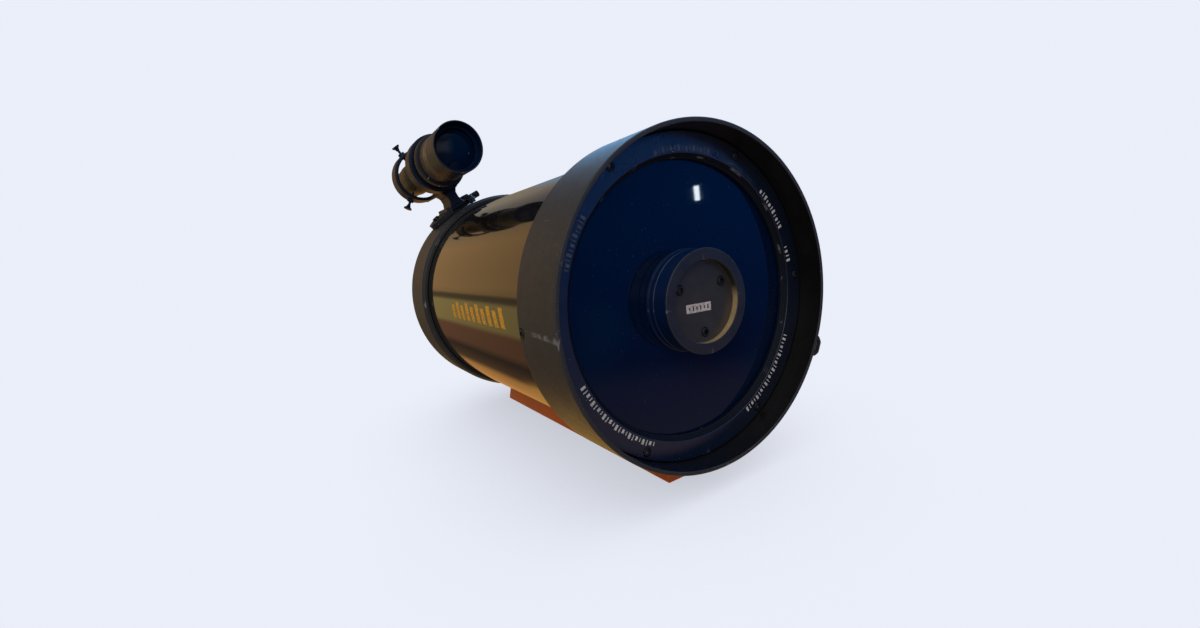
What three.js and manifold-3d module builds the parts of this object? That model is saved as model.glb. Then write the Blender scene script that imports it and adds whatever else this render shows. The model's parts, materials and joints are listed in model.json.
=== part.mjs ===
// Schmidt-Cassegrain telescope, optical tube assembly with its finder, in millimetres, +Z up.
// The tube's own frame has its optical axis along +Y, the front rim on the plane y = 0, and the
// dovetail bar below the tube. The part's origin is the centre of the bar's bottom face.
import * as THREE from "three";
import { mergeVertices } from "three/addons/utils/BufferGeometryUtils.js";
import Module from "manifold-3d";

const wasm = await Module();
wasm.setup();

// ---------- driving dimensions ----------
const GAP = 0.3; // clearance between neighbouring pieces
const RING_SEGMENTS = 48; // facets round the large rings
const MIDDLE_SEGMENTS = 28; // facets round the finder and the visual back
const SCREW_SEGMENTS = 10; // facets round a screw
const HEX_SEGMENTS = 6; // sides of a socket
const MERGE_TOLERANCE = 1e-4;
const OVERSHOOT = 1; // how far a cutter runs past the face it opens
const HEAD_BEVEL_SHARE = 0.2; // a screw head's bevel, as a share of its height
const SOCKET_SHARE = 0.5; // a screw's socket, as a share of its head's radius and height

const AXIS_HEIGHT = 106; // optical axis above the bar's bottom face
const BAR_FRONT_Y = 27;
const BAR_REAR_Y = 268;
const BAR_CENTRE_Y = (BAR_FRONT_Y + BAR_REAR_Y) / 2;

const FRONT_CELL = {
  rimR: 93,
  mouthR: 90.6,
  recessR: 90.2,
  length: 42,
  edge: 0.8,
  seatY: 19.5,
  pocketR: 80.6,
  pocketY: 25.2,
  boreR: 77,
  socketR: 86.3,
  socketY: 30,
};
const RETAINING_RING = { outerR: 89.9, boreR: 76, bevelR: 78.2, frontY: 14.4, bevelY: 17.4, rearY: 19.2 };
const RING_SCREW = { circleR: 86, headR: 2.5, headHeight: 1.8, shankR: 1.15, shankLength: 10, seatY: 15.7 };
const RING_SCREW_COUNT = 6;
const CORRECTOR = { outerR: 80.3, holeR: 25.3, frontY: 19.5, rearY: 23.7 };
const GASKET = { innerR: 77.4, outerR: 80.3, frontY: 24, rearY: 24.9 };
const LUG_ANGLE = -27.5; // small accessory lug on the front cell's right side
const LUG = { rootR: 91.2, shoulderR: 99.5, topR: 102.5, rootHalf: 7, shoulderHalf: 6.2, topHalf: 4.2 };
const LUG_Y = [4, 16];

const HOLDER = {
  rimR: 28.4,
  rimFrontY: 2.8,
  rimEdge: 0.5,
  rimDepth: 2.2,
  bodyR: 28,
  recessR: 22.4,
  floorY: 7,
  floorRearY: 11,
  flangeR: 28.8,
  flangeY: 17.2,
  flangeRearY: 19.2,
  neckR: 24.9,
  neckBoreR: 22.6,
  neckRearY: 29.6,
};
const BAFFLE_NUT = { boreR: 25.2, outerR: 31, frontY: 24, shoulderY: 29.9, sleeveBoreR: 29.4, rearY: 44 };
const PIVOT = { frontY: 11.3, rearY: 15, tipR: 2, bodyR: 3.2, edge: 0.9 };
const MIRROR_PLATE = {
  plateR: 21.5,
  frontY: 15.3,
  plateRearY: 19.5,
  stalkR: 10,
  dishR: 21.3,
  dishY: 29.5,
  rearY: 31.7,
};
const SECONDARY = { outerR: 21.3, frontY: 32, rearY: 38, midR: 10.6, midY: 38.45, crownY: 38.6 };
const COLLIMATION = { circleR: 17, headR: 2.5, headHeight: 2.1, shankR: 1.5, shankLength: 13, seatY: 8.3 };
const COLLIMATION_ANGLES = [30, 150, -90];
const COLLIMATION_CLEAR = 0.4; // round each shank in the tilting plate

const TUBE = { outerR: 86, innerR: 84.4, frontY: 30.3, rearY: 262 };
const SIDE_SCREW = { seatR: 91.6, headR: 2.6, headHeight: 1.8, shankR: 1.5, shankLength: 8.4, y: 38.5 };
const SIDE_SCREW_ANGLES = [180, 60, -60];

const REAR_CELL = {
  frontY: 252.7,
  socketR: 86.3,
  socketY: 262.3,
  shoulderR: 88.8,
  shoulderY: 255.2,
  outerR: 90.8,
  barrelEndY: 296,
  domeR: 87,
  domeY: 304,
  coneR: 76,
  coneY: 311,
  backR: 63,
  backY: 318,
  neckR: 25,
  neckY: 325,
  boreR: 19.4,
  innerR: 84,
};
const REAR_CELL_INSIDE = [
  [19.4, 312.5],
  [58, 312.5],
  [72, 306],
  [82, 298],
  [84, 292],
];

const BAFFLE = { outerR: 19, innerR: 17.4, frontY: 165, rearY: 324.5 };
const PRIMARY = { outerR: 77.5, holeR: 24, vertexY: 269, rearY: 285, focalLength: 300 };
const PRIMARY_RINGS = 5; // steps of the hollow front face from the hole to the edge
const CARRIER = { boreR: 19.5, hubR: 23.6, frontY: 262, flangeR: 58, flangeY: 285.3, flangeRearY: 290 };
const CARRIER_TAIL = { outerR: 25, rearY: 300, nutR: 7, nutRearY: 304 };
const LOCK_RING = { innerR: 23.9, outerR: 30, frontY: 263.6, rearY: 267.9 };

const FOCUS_XZ = [-34, -34]; // where the focus shaft leaves the rear cell
const FOCUS_SHAFT = { radius: 3, frontY: 292, rearY: 336.5, clear: 0.4 };
const BEARING_PLATE = { outerR: 14, frontY: 318.3, rearY: 322.3 };
const PLATE_SCREW = { circleR: 10.5, headR: 2.1, headHeight: 1.7, shankR: 1.15, shankLength: 6, seatY: 320.3 };
const PLATE_SCREW_ANGLES = [90, 210, 330];
const KNOB = { coreR: 12.5, frontY: 323, rearY: 342, edge: 1.5, socketY: 337 };
const KNOB_GRIP = { innerR: 12.8, outerR: 15.2, rootR: 14.5, teeth: 20, frontY: 324, rearY: 340 };

const VISUAL_BACK = { boreR: 16, flangeR: 24.4, frontY: 325.3, flangeRearY: 328.2, barrelR: 20, rearY: 350 };
const COLLAR = { outerR: 29.6, rootR: 28.8, teeth: 36, boreR: 25.4, lipBoreR: 20.5, lipY: 328.6 };
const COLLAR_Y = [319, 332];
const BACK_SCREW = { seatR: 25, headR: 4.2, headRootR: 3.7, headLength: 6, teeth: 10, shankR: 1.4, tipR: 16.4 };
const BACK_SCREW_ANGLES = [90, 0];
const BACK_SCREW_Y = 341;

const BAR = { bottomHalf: 22, edge: 1, topHalf: 18.9, topGap: 0.4 };
const BAR_PAD_DEPTH = 94; // distance from the optical axis to the flat pads the bar is screwed to
const BAR_SCREW = { headR: 3.6, headHeight: 4, shankR: 1.8, shankLength: 12.1, seatZ: -101.3, x: 9 };
const BAR_SCREW_Y = [35, 263];
const BAR_HOLE_DEPTH = 88.6; // the threaded holes end this far from the optical axis
const FRONT_PAD = { half: 15, y: [28, 41], insideZ: -90 };
const REAR_PAD = { half: 16, y: [254, 273], insideZ: -88 };

const FINDER_ANGLE = 112.6; // round the tube, from +X towards +Z
const FINDER_RADIUS = 135; // from the optical axis to the finder's axis
const SHOE = { innerR: 91.1, outerR: 95.8, right: -17.5, left: 31, y: [268, 300] };
const SHOE_SLOT = { floorR: 92.2, floorHalf: 9.3, topR: 97.4, topHalf: 8 };
const CLAMP_BLOCK = { right: -17, left: -9.5, innerR: 91.6, outerR: 99.3, y: [282, 297] };
const SHOE_SCREW = { seatR: 96.1, headR: 3.1, headHeight: 1.9, shankR: 1.5, shankLength: 9 };
const SHOE_SCREW_SPOTS = [
  { angle: 126, y: 285 },
  { angle: 104.5, y: 275 },
];
const SHOE_HOLE_BOTTOM_R = 86.2;
const LOCK_SCREW = { radius: 94.3, y: 289.5, tip: 9.15, headStart: 17.6, headEnd: 29, shankR: 1.45 };
const LOCK_SCREW_HEAD = { outerR: 3, rootR: 2.7, teeth: 10 };

const FOOT = { y: [271, 299], bottomR: 92.5, bottomHalf: 8.9, topR: 96, topHalf: 8.02 };
const STEM = { y: [274, 300], rootHalf: 7, waistHalf: 4.8, waistR: 101, gussetR: 106, topR: 112.5, topHalf: 9 };
const BRACKET_RING = { outerR: 25, frontBoreR: 20.6, rearBoreR: 21.6, frontY: [262, 280], rearY: [325, 345] };
const SPINE = { half: 4.8, bottomR: 109.6, topR: 113.8 };
const THUMB_BOSS = { radius: 3.2, from: 22.5, to: 27.4, holeR: 1.6 };
const PLUNGER_BOSS = { radius: 4, from: 22.8, to: 34, holeR: 2.4 };
const THUMB_ANGLES = [120, 240];
const PLUNGER_ANGLE = 0;
const THUMB_Y = 335;

const THUMB_SCREW = { tip: 16.9, neckStart: 28, neckR: 1.25, neckLength: 2.6, flareLength: 6, headR: 3.9, end: 7.2 };
const PLUNGER = { radius: 2, tipR: 1.4, tip: 17.6, shoulder: 18.4, end: 31 };
const O_RING = { centreR: 18.2, sectionR: 1.85, sides: 8, y: 271 };

const FINDER_TUBE = {
  outerR: 16,
  innerR: 14.6,
  frontY: 215,
  barrelEndY: 351,
  tailY: 356,
  rearY: 364,
  tailR: 12.6,
  tailInnerR: 11.2,
};
const FINDER_LOCK_RING = { innerR: 16.4, outerR: 20.8, edge: 0.6, y: [248.4, 256] };
const OBJECTIVE_CELL = {
  outerR: 20,
  edge: 0.8,
  mouthR: 18.4,
  throatR: 16.6,
  throatY: 206.5,
  seatR: 15.9,
  stopY: 212.9,
  stopR: 14.6,
  threadR: 16.4,
  threadY: 214.6,
  y: [200, 248],
};
const OBJECTIVE = { radius: 15.6, crownY: 206.6, edgeY: 209, rearY: 212.6, midR: 9, midY: 207.2 };
const EYEPIECE = { sleeveR: 13, outerR: 14.8, frontY: 357.5, wallY: 364.5, boreR: 7.9, cupR: 9.2, cupY: 375, rearY: 378 };
const EYEPIECE_EDGE = 1.2;
const EYE_LENS = { radius: 7.6, frontY: 368, rearY: 372 };

// ---------- looks ----------
const LOOK = {
  cellPaint: [0x1d1c1b, 0.75, 0.1],
  tubeGloss: [0x14120f, 0.12, 0.1],
  satinBlack: [0x1a1a1c, 0.45, 0.2],
  blackScrew: [0x101012, 0.4, 0.6],
  glass: [0x0a1430, 0.05, 0],
  mirror: [0xb9c0c6, 0.05, 1],
  aluminium: [0x9a9c9e, 0.35, 0.9],
  steel: [0x8b8d90, 0.3, 0.9],
  orange: [0xa84208, 0.4, 0.4],
  rubber: [0x141414, 0.9, 0],
};

// ---------- shape helpers ----------
const radians = (degrees) => (degrees * Math.PI) / 180;

// A closed geometry as a manifold-3d solid: shared vertices, no collapsed triangles.
function toSolid(geometry) {
  const bare = geometry.index ? geometry.toNonIndexed() : geometry.clone();
  bare.deleteAttribute("normal");
  bare.deleteAttribute("uv");
  const merged = mergeVertices(bare, MERGE_TOLERANCE);
  const index = merged.index.array;
  const kept = [];
  for (let i = 0; i < index.length; i += 3) {
    const corners = [index[i], index[i + 1], index[i + 2]];
    if (new Set(corners).size === 3) kept.push(...corners);
  }
  const vertProperties = merged.attributes.position.array;
  return new wasm.Manifold(new wasm.Mesh({ numProp: 3, vertProperties, triVerts: new Uint32Array(kept) }));
}

function toGeometry(solid) {
  const mesh = solid.getMesh();
  const shared = new THREE.BufferGeometry();
  shared.setAttribute("position", new THREE.BufferAttribute(new Float32Array(mesh.vertProperties), 3));
  shared.setIndex(new THREE.BufferAttribute(new Uint32Array(mesh.triVerts), 1));
  const faceted = shared.toNonIndexed();
  faceted.computeVertexNormals();
  return faceted;
}

const join = (body, ...more) => toGeometry(more.reduce((s, g) => s.add(toSolid(g)), toSolid(body)));
const cut = (body, ...tools) => toGeometry(tools.reduce((s, g) => s.subtract(toSolid(g)), toSolid(body)));
const common = (a, b) => toGeometry(toSolid(a).intersect(toSolid(b)));
const placed = (geometry, matrix) => geometry.clone().applyMatrix4(matrix);

function signedArea(profile) {
  return profile.reduce((sum, [r, y], i) => {
    const [nextR, nextY] = profile[(i + 1) % profile.length];
    return sum + r * nextY - nextR * y;
  }, 0);
}

// Revolves an [r, y] outline about the Y axis. It starts and ends on the axis, or is closed here.
function lathe(profile, segments = RING_SEGMENTS) {
  const points = profile.map(([r, y]) => new THREE.Vector2(r, y));
  if (signedArea(profile) < 0) points.reverse();
  if (points[0].x > 0) points.push(points[0].clone());
  return toGeometry(toSolid(new THREE.LatheGeometry(points, segments)));
}

const ring = (innerR, outerR, from, to, segments = RING_SEGMENTS) =>
  lathe(
    [
      [innerR, from],
      [outerR, from],
      [outerR, to],
      [innerR, to],
    ],
    segments,
  );

function rod(radius, from, to, segments = SCREW_SEGMENTS) {
  const length = to - from;
  return new THREE.CylinderGeometry(radius, radius, length, segments).translate(0, from + length / 2, 0);
}

function block([x0, x1], [y0, y1], [z0, z1]) {
  const box = new THREE.BoxGeometry(x1 - x0, y1 - y0, z1 - z0);
  return box.translate((x0 + x1) / 2, (y0 + y1) / 2, (z0 + z1) / 2);
}

// An X-Y outline carried from one z to another.
function prism(outline, [from, to]) {
  const shape = new THREE.Shape(outline.map(([x, y]) => new THREE.Vector2(x, y)));
  return new THREE.ExtrudeGeometry(shape, { depth: to - from, bevelEnabled: false }).translate(0, 0, from);
}

// A toothed grip about the Y axis.
function knurled(outerR, rootR, teeth, [from, to]) {
  const outline = [];
  for (let i = 0; i < 2 * teeth; i += 1) {
    const radius = i % 2 ? rootR : outerR;
    const angle = (i * Math.PI) / teeth;
    outline.push([radius * Math.cos(angle), radius * Math.sin(angle)]);
  }
  return prism(outline, [0, to - from])
    .rotateX(-Math.PI / 2)
    .translate(0, from, 0);
}

// Frames: a piece is drawn with its own +Y pointing out of its head, then turned to face one way.
const towardsRear = (x, y, z) => new THREE.Matrix4().makeTranslation(x, y, z);
const towardsFront = (x, y, z) => towardsRear(x, y, z).multiply(new THREE.Matrix4().makeRotationX(Math.PI));
const towardsGround = (x, y, z) =>
  towardsRear(x, y, z).multiply(new THREE.Matrix4().makeRotationX(-Math.PI / 2));

// +X runs round the tube, +Y outwards and +Z rearwards, at an angle and station along the tube.
function outwards(angle, y, radius = 0) {
  const a = radians(angle);
  const frame = new THREE.Matrix4().makeBasis(
    new THREE.Vector3(-Math.sin(a), 0, Math.cos(a)),
    new THREE.Vector3(Math.cos(a), 0, Math.sin(a)),
    new THREE.Vector3(0, 1, 0),
  );
  return frame.setPosition(radius * Math.cos(a), y, radius * Math.sin(a));
}

const onCircle = (radius, angle) => [radius * Math.cos(radians(angle)), radius * Math.sin(radians(angle))];
const FINDER_XZ = onCircle(FINDER_RADIUS, FINDER_ANGLE);
const finderFrame = () => towardsRear(FINDER_XZ[0], 0, FINDER_XZ[1]);
const fromFinder = (angle, y, radius = 0) => finderFrame().multiply(outwards(angle, y, radius));
const shoeFrame = () => outwards(FINDER_ANGLE, 0);

// A socket-head screw: its head stands on y = 0 and its shank runs to -y.
function socketScrew({ headR, headHeight, shankR, shankLength }) {
  const bevel = headHeight * HEAD_BEVEL_SHARE;
  const socketR = headR * SOCKET_SHARE;
  const body = lathe(
    [
      [0, -shankLength],
      [shankR, -shankLength],
      [shankR, 0],
      [headR, 0],
      [headR, headHeight - bevel],
      [headR - bevel, headHeight],
      [0, headHeight],
    ],
    SCREW_SEGMENTS,
  );
  return cut(body, rod(socketR, headHeight * SOCKET_SHARE, headHeight + OVERSHOOT, HEX_SEGMENTS));
}

// ---------- front end ----------
function frontCell() {
  const c = FRONT_CELL;
  const shell = lathe([
    [c.mouthR, 0],
    [c.rimR - c.edge, 0],
    [c.rimR, c.edge],
    [c.rimR, c.length - c.edge],
    [c.rimR - c.edge, c.length],
    [c.socketR, c.length],
    [c.socketR, c.socketY],
    [c.boreR, c.socketY],
    [c.boreR, c.pocketY],
    [c.pocketR, c.pocketY],
    [c.pocketR, c.seatY],
    [c.recessR, c.seatY],
  ]);
  const lug = placed(
    prism(
      [
        [-LUG.rootHalf, LUG.rootR],
        [LUG.rootHalf, LUG.rootR],
        [LUG.shoulderHalf, LUG.shoulderR],
        [LUG.topHalf, LUG.topR],
        [-LUG.topHalf, LUG.topR],
        [-LUG.shoulderHalf, LUG.shoulderR],
      ],
      LUG_Y,
    ),
    outwards(LUG_ANGLE, 0),
  );
  const pad = block([-FRONT_PAD.half, FRONT_PAD.half], FRONT_PAD.y, [-BAR_PAD_DEPTH, FRONT_PAD.insideZ]);
  const holes = ringScrewSpots().map(([x, z]) =>
    placed(
      rod(RING_SCREW.shankR + GAP, -RING_SCREW.shankLength - OVERSHOOT, 0),
      towardsFront(x, RING_SCREW.seatY, z),
    ),
  );
  return cut(join(shell, lug, pad), ...holes, ...sideScrewHoles(), ...barScrewHoles(BAR_SCREW_Y[0]));
}

const ringScrewSpots = () =>
  Array.from({ length: RING_SCREW_COUNT }, (_, i) => onCircle(RING_SCREW.circleR, (i * 360) / RING_SCREW_COUNT));

function sideScrewHoles() {
  const s = SIDE_SCREW;
  return SIDE_SCREW_ANGLES.flatMap((angle) => [
    placed(rod(s.shankR + GAP, -s.shankLength - OVERSHOOT, OVERSHOOT), outwards(angle, s.y, s.seatR)),
    placed(rod(s.headR + GAP, -GAP, s.headHeight + OVERSHOOT), outwards(angle, s.y, s.seatR)),
  ]);
}

function retainingRing() {
  const c = RETAINING_RING;
  const body = lathe([
    [c.boreR, c.bevelY],
    [c.bevelR, c.frontY],
    [c.outerR, c.frontY],
    [c.outerR, c.rearY],
    [c.boreR, c.rearY],
  ]);
  const s = RING_SCREW;
  const tools = ringScrewSpots().flatMap(([x, z]) => [
    placed(rod(s.shankR + GAP, -s.shankLength, 0), towardsFront(x, s.seatY, z)),
    placed(rod(s.headR + GAP, -GAP, s.headHeight + OVERSHOOT), towardsFront(x, s.seatY, z)),
  ]);
  return cut(body, ...tools);
}

// ---------- secondary mirror ----------
const collimationSpots = () => COLLIMATION_ANGLES.map((angle) => onCircle(COLLIMATION.circleR, angle));

function secondaryHolder() {
  const h = HOLDER;
  const body = lathe(
    [
      [0, h.floorY],
      [h.recessR, h.floorY],
      [h.recessR, h.rimFrontY],
      [h.rimR - h.rimEdge, h.rimFrontY],
      [h.rimR, h.rimFrontY + h.rimEdge],
      [h.rimR, h.rimFrontY + h.rimDepth],
      [h.bodyR, h.rimFrontY + h.rimDepth],
      [h.bodyR, h.flangeY],
      [h.flangeR, h.flangeY],
      [h.flangeR, h.flangeRearY],
      [h.neckR, h.flangeRearY],
      [h.neckR, h.neckRearY],
      [h.neckBoreR, h.neckRearY],
      [h.neckBoreR, h.floorRearY],
      [0, h.floorRearY],
    ],
    MIDDLE_SEGMENTS,
  );
  const s = COLLIMATION;
  const tools = collimationSpots().flatMap(([x, z]) => [
    placed(rod(s.shankR + GAP, -s.shankLength, 0), towardsFront(x, s.seatY, z)),
    placed(rod(s.headR + GAP, -GAP, s.headHeight + OVERSHOOT), towardsFront(x, s.seatY, z)),
  ]);
  return cut(body, ...tools);
}

function baffleNut() {
  const n = BAFFLE_NUT;
  return lathe(
    [
      [n.boreR, n.frontY],
      [n.outerR, n.frontY],
      [n.outerR, n.rearY],
      [n.sleeveBoreR, n.rearY],
      [n.sleeveBoreR, n.shoulderY],
      [n.boreR, n.shoulderY],
    ],
    MIDDLE_SEGMENTS,
  );
}

function pivot() {
  const p = PIVOT;
  return lathe(
    [
      [0, p.frontY],
      [p.tipR, p.frontY],
      [p.bodyR, p.frontY + p.edge],
      [p.bodyR, p.rearY - p.edge],
      [p.tipR, p.rearY],
      [0, p.rearY],
    ],
    SCREW_SEGMENTS,
  );
}

function mirrorPlate() {
  const p = MIRROR_PLATE;
  const body = lathe(
    [
      [0, p.frontY],
      [p.plateR, p.frontY],
      [p.plateR, p.plateRearY],
      [p.stalkR, p.plateRearY],
      [p.stalkR, p.dishY],
      [p.dishR, p.dishY],
      [p.dishR, p.rearY],
      [0, p.rearY],
    ],
    MIDDLE_SEGMENTS,
  );
  const tools = collimationSpots().map(([x, z]) =>
    placed(
      rod(COLLIMATION.shankR + COLLIMATION_CLEAR, p.frontY - OVERSHOOT, p.plateRearY + OVERSHOOT),
      towardsRear(x, 0, z),
    ),
  );
  return cut(body, ...tools);
}

function secondaryMirror() {
  const m = SECONDARY;
  return lathe(
    [
      [0, m.frontY],
      [m.outerR, m.frontY],
      [m.outerR, m.rearY],
      [m.midR, m.midY],
      [0, m.crownY],
    ],
    MIDDLE_SEGMENTS,
  );
}

// ---------- tube and rear end ----------
function tubeBarrel() {
  return cut(ring(TUBE.innerR, TUBE.outerR, TUBE.frontY, TUBE.rearY), ...sideScrewHoles());
}

function rearCell() {
  const c = REAR_CELL;
  const shell = lathe([
    [c.socketR, c.frontY],
    [c.shoulderR, c.frontY],
    [c.outerR, c.shoulderY],
    [c.outerR, c.barrelEndY],
    [c.domeR, c.domeY],
    [c.coneR, c.coneY],
    [c.backR, c.backY],
    [c.neckR, c.backY],
    [c.neckR, c.neckY],
    [c.boreR, c.neckY],
    ...REAR_CELL_INSIDE,
    [c.innerR, c.socketY],
    [c.socketR, c.socketY],
  ]);
  const pad = block([-REAR_PAD.half, REAR_PAD.half], REAR_PAD.y, [-BAR_PAD_DEPTH, REAR_PAD.insideZ]);
  const [x, z] = FOCUS_XZ;
  const insideY = REAR_CELL_INSIDE[0][1];
  const shaftHole = placed(
    rod(FOCUS_SHAFT.radius + FOCUS_SHAFT.clear, insideY - OVERSHOOT, c.backY + OVERSHOOT),
    towardsRear(x, 0, z),
  );
  const shoeHoles = SHOE_SCREW_SPOTS.map((spot) =>
    placed(rod(SHOE_SCREW.shankR + GAP, SHOE_HOLE_BOTTOM_R, SHOE.innerR), outwards(spot.angle, spot.y)),
  );
  return cut(join(shell, pad), shaftHole, ...plateScrewHoles(), ...barScrewHoles(BAR_SCREW_Y[1]), ...shoeHoles);
}

function primaryMirror() {
  const m = PRIMARY;
  const radii = Array.from(
    { length: PRIMARY_RINGS + 1 },
    (_, i) => m.holeR + ((m.outerR - m.holeR) * i) / PRIMARY_RINGS,
  );
  const face = radii.map((r) => [r, m.vertexY - (r * r) / (4 * m.focalLength)]);
  return lathe([...face, [m.outerR, m.rearY], [m.holeR, m.rearY]]);
}

function mirrorCarrier() {
  const c = CARRIER;
  const body = lathe(
    [
      [c.boreR, c.frontY],
      [c.hubR, c.frontY],
      [c.hubR, c.flangeY],
      [c.flangeR, c.flangeY],
      [c.flangeR, c.flangeRearY],
      [CARRIER_TAIL.outerR, c.flangeRearY],
      [CARRIER_TAIL.outerR, CARRIER_TAIL.rearY],
      [c.boreR, CARRIER_TAIL.rearY],
    ],
    MIDDLE_SEGMENTS,
  );
  const [x, z] = FOCUS_XZ;
  const middleY = (c.flangeY + c.flangeRearY) / 2;
  const nut = placed(rod(CARRIER_TAIL.nutR, middleY, CARRIER_TAIL.nutRearY), towardsRear(x, 0, z));
  const shaftHole = placed(
    rod(FOCUS_SHAFT.radius + FOCUS_SHAFT.clear, c.flangeY - OVERSHOOT, CARRIER_TAIL.nutRearY + OVERSHOOT),
    towardsRear(x, 0, z),
  );
  return cut(join(body, nut), shaftHole);
}

// ---------- focuser ----------
const plateScrewSpots = () =>
  PLATE_SCREW_ANGLES.map((angle) => {
    const [dx, dz] = onCircle(PLATE_SCREW.circleR, angle);
    return [FOCUS_XZ[0] + dx, FOCUS_XZ[1] + dz];
  });

function plateScrewHoles() {
  const s = PLATE_SCREW;
  return plateScrewSpots().flatMap(([x, z]) => [
    placed(rod(s.shankR + GAP, -s.shankLength - GAP, OVERSHOOT), towardsRear(x, s.seatY, z)),
    placed(rod(s.headR + GAP, -GAP, s.headHeight + OVERSHOOT), towardsRear(x, s.seatY, z)),
  ]);
}

function bearingPlate() {
  const p = BEARING_PLATE;
  const disc = ring(FOCUS_SHAFT.radius + GAP, p.outerR, p.frontY, p.rearY, MIDDLE_SEGMENTS);
  return cut(placed(disc, towardsRear(FOCUS_XZ[0], 0, FOCUS_XZ[1])), ...plateScrewHoles());
}

function focusKnob() {
  const k = KNOB;
  const boreR = FOCUS_SHAFT.radius + GAP;
  return lathe(
    [
      [0, k.socketY],
      [boreR, k.socketY],
      [boreR, k.frontY],
      [k.coreR, k.frontY],
      [k.coreR, k.rearY - k.edge],
      [k.coreR - k.edge, k.rearY],
      [0, k.rearY],
    ],
    MIDDLE_SEGMENTS,
  );
}

function knobGrip() {
  const g = KNOB_GRIP;
  const hole = rod(g.innerR, g.frontY - OVERSHOOT, g.rearY + OVERSHOOT, MIDDLE_SEGMENTS);
  return cut(knurled(g.outerR, g.rootR, g.teeth, [g.frontY, g.rearY]), hole);
}

// ---------- visual back ----------
function visualBack() {
  const v = VISUAL_BACK;
  const body = lathe(
    [
      [v.boreR, v.frontY],
      [v.flangeR, v.frontY],
      [v.flangeR, v.flangeRearY],
      [v.barrelR, v.flangeRearY],
      [v.barrelR, v.rearY],
      [v.boreR, v.rearY],
    ],
    MIDDLE_SEGMENTS,
  );
  const tools = BACK_SCREW_ANGLES.map((angle) =>
    placed(rod(BACK_SCREW.shankR + GAP, v.boreR - OVERSHOOT, v.barrelR + OVERSHOOT), outwards(angle, BACK_SCREW_Y)),
  );
  return cut(body, ...tools);
}

function collar() {
  const c = COLLAR;
  const [from, to] = COLLAR_Y;
  return cut(
    knurled(c.outerR, c.rootR, c.teeth, COLLAR_Y),
    rod(c.boreR, from - OVERSHOOT, c.lipY, MIDDLE_SEGMENTS),
    rod(c.lipBoreR, from - OVERSHOOT, to + OVERSHOOT, MIDDLE_SEGMENTS),
  );
}

function backScrew() {
  const s = BACK_SCREW;
  return join(
    knurled(s.headR, s.headRootR, s.teeth, [0, s.headLength]),
    rod(s.shankR, s.tipR - s.seatR, s.headLength / 2),
  );
}

// ---------- dovetail bar ----------
function barScrewHoles(y) {
  const s = BAR_SCREW;
  return [-s.x, s.x].map((x) =>
    placed(rod(s.shankR + GAP, s.seatZ + BAR_HOLE_DEPTH, OVERSHOOT), towardsGround(x, y, s.seatZ)),
  );
}

function dovetailBar() {
  const b = BAR;
  const top = BAR_PAD_DEPTH + b.topGap;
  const bar = prism(
    [
      [-b.bottomHalf + b.edge, AXIS_HEIGHT],
      [b.bottomHalf - b.edge, AXIS_HEIGHT],
      [b.bottomHalf, AXIS_HEIGHT - b.edge],
      [b.topHalf, top],
      [-b.topHalf, top],
      [-b.bottomHalf, AXIS_HEIGHT - b.edge],
    ],
    [BAR_FRONT_Y, BAR_REAR_Y],
  ).rotateX(-Math.PI / 2);
  const s = BAR_SCREW;
  const counterbores = BAR_SCREW_Y.flatMap((y) =>
    [-s.x, s.x].map((x) =>
      placed(rod(s.headR + GAP, -GAP, s.headHeight + OVERSHOOT), towardsGround(x, y, s.seatZ)),
    ),
  );
  return cut(bar, ...counterbores, ...BAR_SCREW_Y.flatMap(barScrewHoles));
}

// ---------- finder mounting ----------
function finderShoe() {
  const s = SHOE;
  const band = ring(s.innerR, s.outerR, s.y[0], s.y[1]);
  const sector = placed(
    block([s.right, s.left], [s.innerR - 2 * GAP - SHOE_SLOT.floorHalf, s.outerR + GAP], [s.y[0] - GAP, s.y[1] + GAP]),
    shoeFrame(),
  );
  const clamp = placed(
    block([CLAMP_BLOCK.right, CLAMP_BLOCK.left], [CLAMP_BLOCK.innerR, CLAMP_BLOCK.outerR], CLAMP_BLOCK.y),
    shoeFrame(),
  );
  const slot = placed(
    prism(
      [
        [-SHOE_SLOT.floorHalf, SHOE_SLOT.floorR],
        [SHOE_SLOT.floorHalf, SHOE_SLOT.floorR],
        [SHOE_SLOT.topHalf, SHOE_SLOT.topR],
        [-SHOE_SLOT.topHalf, SHOE_SLOT.topR],
      ],
      [s.y[0] - OVERSHOOT, s.y[1] + OVERSHOOT],
    ),
    shoeFrame(),
  );
  const screwHoles = SHOE_SCREW_SPOTS.map((spot) =>
    placed(rod(SHOE_SCREW.shankR + GAP, s.innerR - OVERSHOOT, s.outerR + OVERSHOOT), outwards(spot.angle, spot.y)),
  );
  const l = LOCK_SCREW;
  const lockHole = placed(rod(l.shankR + GAP, l.tip - 2 * OVERSHOOT, l.headStart), lockScrewFrame());
  return cut(join(common(band, sector), clamp), slot, lockHole, ...screwHoles);
}

// +Y leaves the shoe sideways, along the clamp's screw.
const lockScrewFrame = () =>
  shoeFrame()
    .multiply(towardsRear(0, LOCK_SCREW.radius, LOCK_SCREW.y))
    .multiply(new THREE.Matrix4().makeRotationZ(Math.PI / 2));

function lockScrew() {
  const l = LOCK_SCREW;
  const head = LOCK_SCREW_HEAD;
  return join(
    knurled(head.outerR, head.rootR, head.teeth, [l.headStart, l.headEnd]),
    rod(l.shankR, l.tip, (l.headStart + l.headEnd) / 2),
  );
}

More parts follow.
